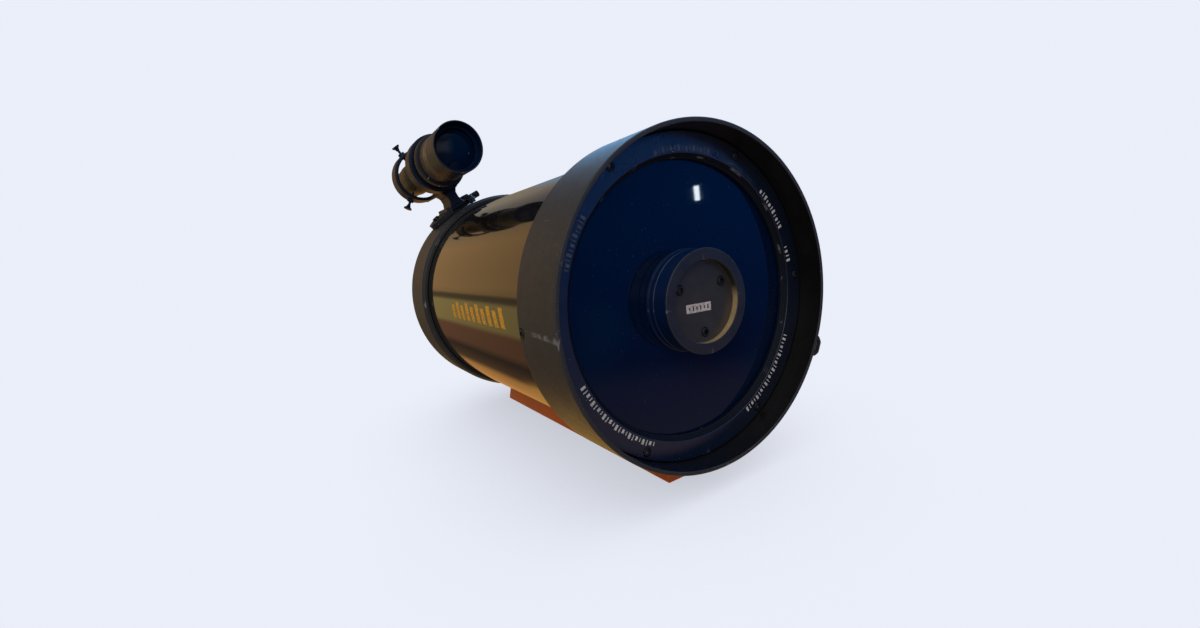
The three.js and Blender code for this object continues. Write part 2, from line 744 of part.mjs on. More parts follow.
function finderBracket() {
  const b = BRACKET_RING;
  const local = (geometry) => placed(geometry, shoeFrame());
  const hoop = (y, segments) => placed(rod(b.outerR, y[0], y[1], segments), finderFrame());
  const foot = local(
    prism(
      [
        [-FOOT.bottomHalf, FOOT.bottomR],
        [FOOT.bottomHalf, FOOT.bottomR],
        [FOOT.topHalf, FOOT.topR],
        [-FOOT.topHalf, FOOT.topR],
      ],
      FOOT.y,
    ),
  );
  const stem = local(
    prism(
      [
        [-STEM.rootHalf, FOOT.topR - GAP],
        [STEM.rootHalf, FOOT.topR - GAP],
        [STEM.waistHalf, STEM.waistR],
        [STEM.waistHalf, STEM.gussetR],
        [STEM.topHalf, STEM.topR],
        [-STEM.topHalf, STEM.topR],
        [-STEM.waistHalf, STEM.gussetR],
        [-STEM.waistHalf, STEM.waistR],
      ],
      STEM.y,
    ),
  );
  const spine = local(
    block([-SPINE.half, SPINE.half], [SPINE.bottomR, SPINE.topR], [b.frontY[0] + GAP, b.rearY[1] - GAP]),
  );
  const boss = (shape, angle) => placed(rod(shape.radius, shape.from, shape.to), fromFinder(angle, THUMB_Y));
  const bossHole = (shape, angle) =>
    placed(
      rod(shape.holeR, b.rearBoreR - 2 * OVERSHOOT, shape.to + OVERSHOOT),
      fromFinder(angle, THUMB_Y),
    );
  const solid = join(
    hoop(b.frontY, MIDDLE_SEGMENTS),
    hoop(b.rearY, MIDDLE_SEGMENTS),
    spine,
    stem,
    foot,
    boss(PLUNGER_BOSS, PLUNGER_ANGLE),
    ...THUMB_ANGLES.map((angle) => boss(THUMB_BOSS, angle)),
  );
  const bore = (radius, y) =>
    placed(rod(radius, y[0] - OVERSHOOT, y[1] + OVERSHOOT, MIDDLE_SEGMENTS), finderFrame());
  return cut(
    solid,
    bore(b.frontBoreR, b.frontY),
    bore(b.rearBoreR, b.rearY),
    bossHole(PLUNGER_BOSS, PLUNGER_ANGLE),
    ...THUMB_ANGLES.map((angle) => bossHole(THUMB_BOSS, angle)),
  );
}

function thumbScrew() {
  const t = THUMB_SCREW;
  return lathe(
    [
      [0, t.tip - t.neckStart],
      [t.neckR, t.tip - t.neckStart],
      [t.neckR, t.neckLength],
      [t.headR, t.flareLength],
      [t.headR, t.end],
      [0, t.end],
    ],
    SCREW_SEGMENTS,
  );
}

function plunger() {
  const p = PLUNGER;
  return lathe(
    [
      [0, p.tip],
      [p.tipR, p.tip],
      [p.radius, p.shoulder],
      [p.radius, p.end],
      [0, p.end],
    ],
    SCREW_SEGMENTS,
  );
}

// ---------- finder ----------
function oRing() {
  const o = O_RING;
  const section = Array.from({ length: o.sides }, (_, i) => {
    const a = ((i + 0.5) * 2 * Math.PI) / o.sides;
    return [o.centreR + o.sectionR * Math.cos(a), o.y + o.sectionR * Math.sin(a)];
  });
  return lathe(section, MIDDLE_SEGMENTS);
}

function finderTube() {
  const t = FINDER_TUBE;
  return lathe(
    [
      [t.innerR, t.frontY],
      [t.outerR, t.frontY],
      [t.outerR, t.barrelEndY],
      [t.tailR, t.tailY],
      [t.tailR, t.rearY],
      [t.tailInnerR, t.rearY],
      [t.tailInnerR, t.tailY - GAP],
      [t.innerR, t.barrelEndY - GAP],
    ],
    MIDDLE_SEGMENTS,
  );
}

function finderLockRing() {
  const r = FINDER_LOCK_RING;
  return lathe(
    [
      [r.innerR, r.y[0]],
      [r.outerR - r.edge, r.y[0]],
      [r.outerR, r.y[0] + r.edge],
      [r.outerR, r.y[1] - r.edge],
      [r.outerR - r.edge, r.y[1]],
      [r.innerR, r.y[1]],
    ],
    MIDDLE_SEGMENTS,
  );
}

function objectiveCell() {
  const c = OBJECTIVE_CELL;
  return lathe(
    [
      [c.mouthR, c.y[0]],
      [c.outerR - c.edge / 2, c.y[0]],
      [c.outerR, c.y[0] + c.edge],
      [c.outerR, c.y[1] - c.edge],
      [c.outerR - c.edge, c.y[1]],
      [c.threadR, c.y[1]],
      [c.threadR, c.threadY],
      [c.stopR, c.threadY],
      [c.stopR, c.stopY],
      [c.seatR, c.stopY],
      [c.seatR, c.throatY],
      [c.throatR, c.throatY],
    ],
    MIDDLE_SEGMENTS,
  );
}

function objectiveLens() {
  const o = OBJECTIVE;
  return lathe(
    [
      [0, o.crownY],
      [o.midR, o.midY],
      [o.radius, o.edgeY],
      [o.radius, o.rearY],
      [0, o.rearY],
    ],
    MIDDLE_SEGMENTS,
  );
}

function eyepiece() {
  const e = EYEPIECE;
  return lathe(
    [
      [e.sleeveR, e.frontY],
      [e.outerR, e.frontY + EYEPIECE_EDGE],
      [e.outerR, e.rearY - EYEPIECE_EDGE],
      [e.outerR - EYEPIECE_EDGE, e.rearY],
      [e.cupR, e.rearY],
      [e.boreR, e.cupY],
      [e.boreR, e.wallY],
      [e.sleeveR, e.wallY],
    ],
    MIDDLE_SEGMENTS,
  );
}

// ---------- assembly ----------
const group = new THREE.Group();
const tube = new THREE.Group();
tube.position.set(0, -BAR_CENTRE_Y, AXIS_HEIGHT);
group.add(tube);

function add(name, geometry, [color, roughness, metalness], matrix) {
  const mesh = new THREE.Mesh(geometry, new THREE.MeshStandardMaterial({ color, roughness, metalness }));
  mesh.name = name;
  if (matrix) mesh.applyMatrix4(matrix);
  tube.add(mesh);
}

add("front_cell", frontCell(), LOOK.cellPaint);
add("corrector_retaining_ring", retainingRing(), LOOK.satinBlack);
add("corrector_plate", ring(CORRECTOR.holeR, CORRECTOR.outerR, CORRECTOR.frontY, CORRECTOR.rearY), LOOK.glass);
add("corrector_gasket", ring(GASKET.innerR, GASKET.outerR, GASKET.frontY, GASKET.rearY), LOOK.rubber);
ringScrewSpots().forEach(([x, z], i) => {
  const spot = towardsFront(x, RING_SCREW.seatY, z);
  add(`retaining_screw_${i + 1}`, socketScrew(RING_SCREW), LOOK.blackScrew, spot);
});

add("secondary_holder", secondaryHolder(), LOOK.satinBlack);
add("secondary_baffle_nut", baffleNut(), LOOK.satinBlack);
add("secondary_pivot", pivot(), LOOK.steel);
add("secondary_mirror_plate", mirrorPlate(), LOOK.aluminium);
add("secondary_mirror", secondaryMirror(), LOOK.mirror);
collimationSpots().forEach(([x, z], i) => {
  const spot = towardsFront(x, COLLIMATION.seatY, z);
  add(`collimation_screw_${i + 1}`, socketScrew(COLLIMATION), LOOK.blackScrew, spot);
});

add("tube_barrel", tubeBarrel(), LOOK.tubeGloss);
SIDE_SCREW_ANGLES.forEach((angle, i) => {
  const spot = outwards(angle, SIDE_SCREW.y, SIDE_SCREW.seatR);
  add(`front_cell_screw_${i + 1}`, socketScrew(SIDE_SCREW), LOOK.blackScrew, spot);
});

add("rear_cell", rearCell(), LOOK.cellPaint);
add("baffle_tube", ring(BAFFLE.innerR, BAFFLE.outerR, BAFFLE.frontY, BAFFLE.rearY, MIDDLE_SEGMENTS), LOOK.satinBlack);
add("primary_mirror", primaryMirror(), LOOK.mirror);
add("mirror_carrier", mirrorCarrier(), LOOK.aluminium);
add(
  "mirror_lock_ring",
  ring(LOCK_RING.innerR, LOCK_RING.outerR, LOCK_RING.frontY, LOCK_RING.rearY, MIDDLE_SEGMENTS),
  LOOK.satinBlack,
);

const focusFrame = towardsRear(FOCUS_XZ[0], 0, FOCUS_XZ[1]);
const shaft = rod(FOCUS_SHAFT.radius, FOCUS_SHAFT.frontY, FOCUS_SHAFT.rearY);
add("focus_shaft", shaft, LOOK.steel, focusFrame);
add("focus_knob", focusKnob(), LOOK.satinBlack, focusFrame);
add("focus_knob_grip", knobGrip(), LOOK.rubber, focusFrame);
add("focus_bearing_plate", bearingPlate(), LOOK.aluminium);
plateScrewSpots().forEach(([x, z], i) => {
  const spot = towardsRear(x, PLATE_SCREW.seatY, z);
  add(`focus_plate_screw_${i + 1}`, socketScrew(PLATE_SCREW), LOOK.blackScrew, spot);
});

add("visual_back", visualBack(), LOOK.satinBlack);
add("visual_back_ring", collar(), LOOK.satinBlack);
BACK_SCREW_ANGLES.forEach((angle, i) => {
  const spot = outwards(angle, BACK_SCREW_Y, BACK_SCREW.seatR);
  add(`visual_back_thumbscrew_${i + 1}`, backScrew(), LOOK.satinBlack, spot);
});

add("dovetail_bar", dovetailBar(), LOOK.orange);
BAR_SCREW_Y.flatMap((y) => [-BAR_SCREW.x, BAR_SCREW.x].map((x) => [x, y])).forEach(([x, y], i) => {
  const spot = towardsGround(x, y, BAR_SCREW.seatZ);
  add(`dovetail_screw_${i + 1}`, socketScrew(BAR_SCREW), LOOK.blackScrew, spot);
});

add("finder_shoe", finderShoe(), LOOK.satinBlack);
SHOE_SCREW_SPOTS.forEach((spot, i) => {
  const frame = outwards(spot.angle, spot.y, SHOE_SCREW.seatR);
  add(`finder_shoe_screw_${i + 1}`, socketScrew(SHOE_SCREW), LOOK.blackScrew, frame);
});
add("finder_lock_screw", lockScrew(), LOOK.blackScrew, lockScrewFrame());
add("finder_bracket", finderBracket(), LOOK.satinBlack);
add("finder_o_ring", oRing(), LOOK.rubber, finderFrame());
THUMB_ANGLES.forEach((angle, i) => {
  const spot = fromFinder(angle, THUMB_Y, THUMB_SCREW.neckStart);
  add(`finder_thumbscrew_${i + 1}`, thumbScrew(), LOOK.blackScrew, spot);
});
add("finder_spring_plunger", plunger(), LOOK.steel, fromFinder(PLUNGER_ANGLE, THUMB_Y));
add("finder_tube", finderTube(), LOOK.satinBlack, finderFrame());
add("finder_lock_ring", finderLockRing(), LOOK.satinBlack, finderFrame());
add("finder_objective_cell", objectiveCell(), LOOK.satinBlack, finderFrame());
add("finder_objective_lens", objectiveLens(), LOOK.glass, finderFrame());
add("finder_eyepiece", eyepiece(), LOOK.satinBlack, finderFrame());
const eyeLens = rod(EYE_LENS.radius, EYE_LENS.frontY, EYE_LENS.rearY, MIDDLE_SEGMENTS);
add("finder_eye_lens", eyeLens, LOOK.glass, finderFrame());

export default group;
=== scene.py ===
"""The finished look of the Schmidt-Cassegrain telescope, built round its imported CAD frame.

Shapes are drawn in millimetres in the tube's own frame: the optical axis is +Y, the front rim is y = 0
and the dovetail bar is below. TUBE carries them into the scene, which is in metres.
"""

import json
import math

import bmesh
import bpy
from mathutils import Matrix, Vector

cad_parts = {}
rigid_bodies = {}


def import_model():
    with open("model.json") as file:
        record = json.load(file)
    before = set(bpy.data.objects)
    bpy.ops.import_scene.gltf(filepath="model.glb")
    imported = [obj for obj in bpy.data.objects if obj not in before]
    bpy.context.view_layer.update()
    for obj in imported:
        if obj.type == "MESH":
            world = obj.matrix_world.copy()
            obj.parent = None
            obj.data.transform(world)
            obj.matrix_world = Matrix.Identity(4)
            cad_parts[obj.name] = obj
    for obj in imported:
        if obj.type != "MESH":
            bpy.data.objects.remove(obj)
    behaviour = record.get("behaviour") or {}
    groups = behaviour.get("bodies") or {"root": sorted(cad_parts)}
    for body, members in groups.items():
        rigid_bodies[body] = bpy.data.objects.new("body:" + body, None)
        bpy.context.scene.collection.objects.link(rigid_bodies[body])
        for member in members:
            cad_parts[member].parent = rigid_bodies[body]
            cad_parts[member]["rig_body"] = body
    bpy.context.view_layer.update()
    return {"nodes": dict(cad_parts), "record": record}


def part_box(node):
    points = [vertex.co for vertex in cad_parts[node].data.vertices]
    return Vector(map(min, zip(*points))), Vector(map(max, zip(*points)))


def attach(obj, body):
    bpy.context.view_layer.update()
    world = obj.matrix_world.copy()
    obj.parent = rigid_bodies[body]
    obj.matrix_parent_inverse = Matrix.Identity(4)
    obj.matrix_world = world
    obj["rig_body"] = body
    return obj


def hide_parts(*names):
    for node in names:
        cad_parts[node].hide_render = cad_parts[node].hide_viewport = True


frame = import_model()

# ---------- frame and sizes ----------
MM = 0.001
FINE, MEDIUM, SMALL = 256, 128, 40  # facets round large, middle and small pieces
HEX = 6
EDGE = 0.25  # usual rounding of an edge
HAIR = 0.05  # thickness of a printed mark
SHARP_ANGLE = math.radians(38)

RIM_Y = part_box("front_cell")[0].y
TUBE_LOW, TUBE_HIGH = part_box("tube_barrel")
AXIS_Z = (TUBE_LOW.z + TUBE_HIGH.z) / 2
TUBE = Matrix.Translation((0, RIM_Y, AXIS_Z)) @ Matrix.Scale(MM, 4)
TUBE_R = (TUBE_HIGH.x - TUBE_LOW.x) / 2 / MM
BAR_Z = -AXIS_Z / MM  # the bar's bottom face

SLOT_OF = {}


def read_slots(entry):
    """Finds each CAD node's material slot in the record."""
    if isinstance(entry, dict):
        if "node" in entry and "material_slot" in entry:
            SLOT_OF[entry["node"]] = entry["material_slot"]
        for value in entry.values():
            read_slots(value)
    elif isinstance(entry, list):
        for value in entry:
            read_slots(value)


read_slots(frame["record"])


# ---------- placing ----------
def rearward(x=0, y=0, z=0):
    """+Y of the piece faces the rear, as in the tube's own frame."""
    return Matrix.Translation((x, y, z))


def forward(x, y, z):
    """+Y of the piece faces the front."""
    return Matrix.Translation((x, y, z)) @ Matrix.Rotation(math.pi, 4, "X")


def downward(x, y, z):
    """+Y of the piece faces the ground."""
    return Matrix.Translation((x, y, z)) @ Matrix.Rotation(-math.pi / 2, 4, "X")


def outward(degrees, y=0, radius=0):
    """+X runs round the tube, +Y outwards and +Z rearwards, at an angle and station along the tube."""
    s, c = math.sin(math.radians(degrees)), math.cos(math.radians(degrees))
    return Matrix(((-s, c, 0, radius * c), (0, 0, 1, y), (c, s, 0, radius * s), (0, 0, 0, 1)))


def on_circle(radius, degrees):
    return radius * math.cos(math.radians(degrees)), radius * math.sin(math.radians(degrees))


FINDER_ANGLE = 112.6
FINDER_X, FINDER_Z = on_circle(135, FINDER_ANGLE)
FINDER = rearward(FINDER_X, 0, FINDER_Z)
SHOE = outward(FINDER_ANGLE)
FOCUS_X = FOCUS_Z = -34
FOCUS = rearward(FOCUS_X, 0, FOCUS_Z)


# ---------- shapes ----------
def filleted(outline, radius=EDGE, steps=3):
    """Rounds the corners of a closed outline. A point is (a, b) or (a, b, its own radius)."""
    points = [Vector(p[:2]) for p in outline]
    radii = [p[2] if len(p) > 2 else radius for p in outline]
    rounded = []
    for i, (point, r) in enumerate(zip(points, radii)):
        before = points[i - 1] - point
        after = points[(i + 1) % len(points)] - point
        on_axis = abs(point.x) < 1e-6
        straight = abs(before.normalized().dot(after.normalized())) > 0.9998
        if on_axis or straight or r <= 0:
            rounded.append(point)
            continue
        half = before.angle(after) / 2
        reach = min(r / math.tan(half), 0.45 * before.length, 0.45 * after.length)
        start = point + before.normalized() * reach
        end = point + after.normalized() * reach
        for k in range(steps + 1):
            t = k / steps
            rounded.append(start * (1 - t) ** 2 + point * (2 * t * (1 - t)) + end * t**2)
    return [(p.x, p.y) for p in rounded]


def revolve(outline, segments=MEDIUM, wave=None, radius=EDGE):
    """Turns a rounded [r, y] outline about the Y axis. wave(angle, r) gives a grip its teeth."""
    bm = bmesh.new()
    rings = []
    for r, y in filleted(outline, radius):
        if r < 1e-6:
            rings.append([bm.verts.new((0, y, 0))])
            continue
        ring = []
        for k in range(segments):
            a = 2 * math.pi * k / segments
            reach = wave(a, r) if wave else r
            ring.append(bm.verts.new((reach * math.cos(a), y, reach * math.sin(a))))
        rings.append(ring)
    closing = rings[:1] if len(rings[0]) > 1 else []
    for a, b in zip(rings, rings[1:] + closing):
        for k in range(segments):
            n = k + 1
            corners = (a[k % len(a)], a[n % len(a)], b[n % len(b)], b[k % len(b)])
            bm.faces.new(list(dict.fromkeys(corners)))
    bmesh.ops.recalc_face_normals(bm, faces=bm.faces)
    return bm


def teeth(count, depth, from_radius):
    """A wave for revolve: rounded teeth on whatever lies beyond a radius."""

    def wave(angle, r):
        if r < from_radius:
            return r
        return r - depth * (0.5 - 0.5 * math.cos(count * angle)) ** 2

    return wave


def prism(outline, low, high, corner=0.0, edge=0.3):
    """Carries an X-Y outline from one z to another, with rounded corners and edges."""
    bm = bmesh.new()
    flat = filleted(outline, corner) if corner else [p[:2] for p in outline]
    bottom = [bm.verts.new((x, y, low)) for x, y in flat]
    top = [bm.verts.new((x, y, high)) for x, y in flat]
    bm.faces.new(bottom)
    bm.faces.new(top)
    for i in range(len(flat)):
        j = (i + 1) % len(flat)
        bm.faces.new((bottom[i], bottom[j], top[j], top[i]))
    bmesh.ops.recalc_face_normals(bm, faces=bm.faces)
    if edge:
        hard = [e for e in bm.edges if e.calc_face_angle(0) > SHARP_ANGLE]
        bmesh.ops.bevel(
            bm, geom=hard, offset=edge, segments=3, profile=0.5, affect="EDGES", clamp_overlap=True
        )
    return bm


def both_sides(half):
    """A symmetric outline from its right half."""
    return [*half, *[(-x, *rest) for x, *rest in reversed(half)]]


def box(xs, ys, zs, edge=0.3):
    return prism([(xs[0], ys[0]), (xs[1], ys[0]), (xs[1], ys[1]), (xs[0], ys[1])], *zs, edge=edge)


def rod(radius, low, high, segments=SMALL, edge=0.0):
    """A plain round bar along Y."""
    return revolve([(0, low), (radius, low), (radius, high), (0, high)], segments, radius=edge)


def placed(bm, matrix):
    bm.transform(matrix)
    return bm


def combine(shapes):
    """Puts several shapes into one mesh, without joining their surfaces."""
    whole = bmesh.new()
    for shape in shapes:
        scratch = bpy.data.meshes.new("scratch")
        shape.to_mesh(scratch)
        shape.free()
        whole.from_mesh(scratch)
        bpy.data.meshes.remove(scratch)
    return whole


def scratch_object(bm):
    mesh = bpy.data.meshes.new("scratch")
    bm.to_mesh(mesh)
    bm.free()
    made = bpy.data.objects.new("scratch", mesh)
    bpy.context.scene.collection.objects.link(made)
    return made


def evaluated(obj):
    """The mesh of an object after its modifiers. The object is removed."""
    bpy.context.view_layer.update()
    graph = bpy.context.evaluated_depsgraph_get()
    mesh = bpy.data.meshes.new_from_object(obj.evaluated_get(graph))
    bm = bmesh.new()
    bm.from_mesh(mesh)
    bpy.data.meshes.remove(mesh)
    bpy.data.objects.remove(obj)
    return bm


def boolean(bm, tools, operation):
    """Cuts or joins each tool in turn."""
    target = scratch_object(bm)
    helpers = [scratch_object(tool) for tool in tools]
    for helper in helpers:
        modifier = target.modifiers.new("step", "BOOLEAN")
        modifier.operation = operation
        modifier.solver = "EXACT"
        modifier.object = helper
    made = evaluated(target)
    for helper in helpers:
        bpy.data.objects.remove(helper)
    bmesh.ops.remove_doubles(made, verts=made.verts, dist=1e-4)
    bmesh.ops.dissolve_degenerate(made, edges=made.edges, dist=1e-4)
    return made


def cut(bm, tools):
    return boolean(bm, tools, "DIFFERENCE")


def join(bm, tools):
    return boolean(bm, tools, "UNION")


def cast(shapes, voxel=0.55, smoothing=5):
    """Fuses overlapping shapes into one casting with soft inner corners."""
    obj = scratch_object(combine(shapes))
    remesh = obj.modifiers.new("fuse", "REMESH")
    remesh.mode = "VOXEL"
    remesh.voxel_size = voxel
    soften = obj.modifiers.new("soften", "SMOOTH")
    soften.factor = 0.5
    soften.iterations = smoothing
    return evaluated(obj)


def counterbore(radius, depth, shank_radius, shank_depth):
    """A cutter for a screw's seat: +Y points out of the hole, and y = 0 is the seat."""
    top = depth + 1
    shank = [(0, -shank_depth), (shank_radius, -shank_depth), (shank_radius, 0)]
    return revolve([*shank, (radius, 0), (radius, top), (0, top)], SMALL, radius=0)


# ---------- node trees ----------
class Nodes:
    """Builds a shader node tree, one node per call."""

    def __init__(self, tree):
        self.tree = tree

    def add(self, kind, inputs=None, output=0, **settings):
        node = self.tree.nodes.new("ShaderNode" + kind)
        for key, value in settings.items():
            setattr(node, key, value)
        for key, value in (inputs or {}).items():
            if isinstance(value, bpy.types.NodeSocket):
                self.tree.links.new(value, node.inputs[key])
            else:
                node.inputs[key].default_value = value
        return node.outputs[output]

    def math(self, operation, a, b=0.0, clamp=False):
        return self.add("Math", {0: a, 1: b}, operation=operation, use_clamp=clamp)

    def mix(self, factor, a, b, blend="MIX"):
        rgba = [v if isinstance(v, bpy.types.NodeSocket) else (*v, 1)[:4] for v in (a, b)]
        inputs = {0: factor, 6: rgba[0], 7: rgba[1]}
        return self.add("Mix", inputs, output=2, data_type="RGBA", blend_type=blend)

    def between(self, value, low, high):
        """0 below low, 1 above high, and a smooth step between."""
        return self.add("MapRange", {0: value, 1: low, 2: high}, interpolation_type="SMOOTHSTEP")

    def spread(self, value, low, high):
        """Maps 0..1 onto low..high."""
        return self.add("MapRange", {0: value, 3: low, 4: high})

    def noise(self, scale, detail=3.0, vector=None, roughness=0.5):
        inputs = {"Scale": scale, "Detail": detail, "Roughness": roughness}
        if vector is not None:
            inputs["Vector"] = vector
        return self.add("TexNoise", inputs)

    def place(self):
        return self.add("TexCoord", output=3)

    def stretched(self, scale):
        return self.add("Mapping", {"Vector": self.place(), "Scale": scale})

    def ramp(self, value, stops):
        node = self.tree.nodes.new("ShaderNodeValToRGB")
        elements = node.color_ramp.elements
        while len(elements) < len(stops):
            elements.new(1.0)
        for element, (position, color) in zip(elements, stops):
            element.position = position
            element.color = (*color, 1)
        self.tree.links.new(value, node.inputs[0])
        return node.outputs[0]

    def xyz(self, vector):
        node = self.tree.nodes.new("ShaderNodeSeparateXYZ")
        self.tree.links.new(vector, node.inputs[0])
        return node.outputs


def new_material(name):
    material = bpy.data.materials.new(name)
    material.use_nodes = True
    nodes = Nodes(material.node_tree)
    return material, nodes, material.node_tree.nodes["Principled BSDF"]


def dress(nodes, shader, **values):
    """Sets or links the inputs of a material's main shader."""
    for key, value in values.items():
        socket = shader.inputs[key.replace("_", " ")]
        if isinstance(value, bpy.types.NodeSocket):
            nodes.tree.links.new(value, socket)
        else:
            socket.default_value = (*value, 1) if isinstance(value, tuple) else value


def bump(nodes, height, strength, distance):
    return nodes.add("Bump", {"Height": height, "Strength": strength, "Distance": distance})


def worn_edges(nodes, low=0.535, high=0.6):
    """Where paint has rubbed off: sharp edges, broken up by noise."""
    edge = nodes.between(nodes.add("NewGeometry", output=7), low, high)
    patches = nodes.between(nodes.noise(160.0, 4.0, nodes.place()), 0.38, 0.62)
    return nodes.math("MULTIPLY", edge, patches)


def scratches(nodes, scale, amount):
    """Thin broken lines in two directions."""
    lines = []
    for stretch in ((scale, scale * 0.05, scale * 0.6), (scale * 0.07, scale * 0.9, scale)):
        streak = nodes.noise(1.0, 2.0, nodes.stretched(stretch))
        lines.append(nodes.between(streak, 0.70 - amount, 0.73 - amount))
    mask = nodes.between(nodes.noise(38.0, 2.0, nodes.place()), 0.5, 0.62)
    return nodes.math("MULTIPLY", nodes.math("MAXIMUM", *lines), mask)


def cell_paint():
    """Matt black enamel with a fine grain, rubbed at its edges, with a few scratches and chips."""
    material, n, shader = new_material("cell_paint_look")
    grain = n.noise(2600.0, 3.0, n.place(), 0.6)
    mottle = n.noise(70.0, 4.0, n.place())
    base = n.mix(mottle, (0.016, 0.0155, 0.0155), (0.030, 0.027, 0.025))
    fine = n.math("MULTIPLY", scratches(n, 900.0, 0.02), 0.2)
    marks = n.math("MAXIMUM", fine, n.math("MULTIPLY", worn_edges(n), 0.6))
    base = n.mix(marks, base, (0.32, 0.30, 0.28))
    rough = n.spread(n.noise(220.0, 4.0, n.place()), 0.42, 0.58)
    height = n.math("ADD", grain, n.math("MULTIPLY", marks, -0.8))
    dress(
        n,
        shader,
        Base_Color=base,
        Roughness=n.math("SUBTRACT", rough, n.math("MULTIPLY", marks, 0.15)),
        Metallic=n.math("MULTIPLY", marks, 0.6),
        Normal=bump(n, height, 0.22, 0.0002),
    )
    return material


def satin_black(name, tint=(0.014, 0.0145, 0.017), rough=0.33, wear=1.0, shine=0.5, ior=1.5):
    """Black anodised metal with fine turning marks."""
    material, n, shader = new_material(name)
    turning = n.noise(1.0, 2.0, n.stretched((90.0, 2600.0, 90.0)))
    cloud = n.noise(120.0, 4.0, n.place())
    lighter = tuple(c * 1.9 for c in tint)
    base = n.mix(cloud, tint, lighter)
    worn = n.math("MULTIPLY", worn_edges(n, 0.55, 0.64), wear)
    base = n.mix(worn, base, (0.34, 0.32, 0.30))
    height = n.math("ADD", turning, n.math("MULTIPLY", n.noise(1800.0, 2.0, n.place()), 0.5))
    dress(
        n,
        shader,
        Base_Color=base,
        Roughness=n.spread(cloud, rough - 0.05, rough + 0.08),
        Specular_IOR_Level=shine,
        IOR=ior,
        Metallic=n.math("MULTIPLY", worn, 0.7),
        Normal=bump(n, height, 0.10, 0.0001),
    )
    return material


def tube_gloss():
    """Gloss black enamel: a hard shiny coat with a trace of ripple, and dust."""
    material, n, shader = new_material("tube_gloss_look")
    ripple = n.noise(1.0, 2.0, n.stretched((26.0, 7.0, 26.0)))
    dust = n.between(n.noise(1500.0, 2.0, n.place()), 0.66, 0.74)
    haze = n.noise(45.0, 4.0, n.place())
    base = n.mix(n.math("MULTIPLY", dust, 0.25), (0.0075, 0.006, 0.0045), (0.12, 0.11, 0.10))
    dress(
        n,
        shader,
        Base_Color=base,
        Roughness=n.math("ADD", n.spread(haze, 0.035, 0.075), n.math("MULTIPLY", dust, 0.2)),
        IOR=1.75,
        Normal=bump(n, ripple, 0.10, 0.0012),
    )
    return material


def corrector_glass():
    """The front glass, with a few specks of dust. Its deep blue base colour is painted: it stands for the
    coating's blue reflection and the shade of the dark tube behind the glass.
    """
    material, n, shader = new_material("corrector_glass_look")
    specks = n.between(n.noise(700.0, 2.0, n.place()), 0.70, 0.76)
    cloud = n.noise(16.0, 2.0, n.place())
    # Painted reflection and shade: this navy stands for the coating's blue sheen and the dark tube seen
    # through the glass.
    base = n.mix(cloud, (0.0003, 0.0042, 0.0200), (0.0004, 0.0060, 0.0270))
    base = n.mix(n.math("MULTIPLY", specks, 0.35), base, (0.05, 0.06, 0.08))
    dress(
        n,
        shader,
        Base_Color=base,
        Roughness=n.spread(cloud, 0.015, 0.04),
        IOR=1.5,
        Specular_Tint=(0.85, 0.95, 1.0),
        Normal=bump(n, n.noise(9.0, 1.0, n.place()), 0.02, 0.001),
    )
    return material


def lens_glass():
    material, n, shader = new_material("lens_glass_look")
    cloud = n.noise(60.0, 2.0, n.place())
    # Painted reflection and shade: this navy stands for the coating's blue sheen and the dark finder tube
    # behind the lens.
    base = n.mix(cloud, (0.0003, 0.0050, 0.0180), (0.0005, 0.0070, 0.0250))
    dress(n, shader, Base_Color=base, Roughness=n.spread(cloud, 0.02, 0.05), IOR=1.22)
    return material


def metal(name, color, rough, grain=(60.0, 1800.0, 60.0), metallic=1.0, strength=0.12):
    """Bare or blackened metal with fine machining lines and worn edges."""
    material, n, shader = new_material(name)
    lines = n.noise(1.0, 3.0, n.stretched(grain))
    cloud = n.noise(260.0, 4.0, n.place())
    darker = tuple(c * 0.62 for c in color)
    base = n.mix(cloud, darker, color)
    base = n.mix(worn_edges(n, 0.56, 0.66), base, (0.45, 0.43, 0.40))
    dress(
        n,
        shader,
        Base_Color=base,
        Metallic=metallic,
        Roughness=n.spread(cloud, rough - 0.06, rough + 0.08),
        Normal=bump(n, lines, strength, 0.0001),
    )
    return material


def holder_wall():
    """The holder's inner wall: a painted highlight, bronze below the axis, fading to black above it."""
    material, n, shader = new_material("holder_wall_look")
    place = n.place()
    z = n.xyz(place)[2]
    lit = n.math("SUBTRACT", 1.0, n.between(z, AXIS_Z - 0.008, AXIS_Z + 0.006))
    patch = n.noise(260.0, 4.0, place)
    # Painted highlight: the warm glint of light caught on the lower part of the wall.
    warm_glint = n.mix(patch, (0.57, 0.40, 0.19), (0.92, 0.64, 0.30))
    dress(
        n,
        shader,
        Base_Color=n.mix(lit, (0.020, 0.018, 0.015), warm_glint),
        Metallic=n.math("MULTIPLY", lit, 0.7),
        Roughness=n.spread(patch, 0.32, 0.46),
        Normal=bump(n, n.noise(1.0, 3.0, n.stretched((60.0, 1800.0, 60.0))), 0.12, 0.0001),
    )
    return material


def mirror_look():
    material, n, shader = new_material("mirror_look")
    haze = n.noise(40.0, 3.0, n.place())
    base = n.mix(haze, (0.78, 0.80, 0.82), (0.88, 0.89, 0.90))
    dress(n, shader, Base_Color=base, Metallic=1.0, Roughness=n.spread(haze, 0.01, 0.05))
    return material


def rubber():
    material, n, shader = new_material("rubber_look")
    grain = n.noise(1500.0, 3.0, n.place())
    cloud = n.noise(90.0, 4.0, n.place())
    dress(
        n,
        shader,
        Base_Color=n.mix(cloud, (0.012, 0.012, 0.012), (0.028, 0.027, 0.026)),
        Roughness=n.spread(cloud, 0.62, 0.82),
        Normal=bump(n, grain, 0.25, 0.0002),
    )
    return material


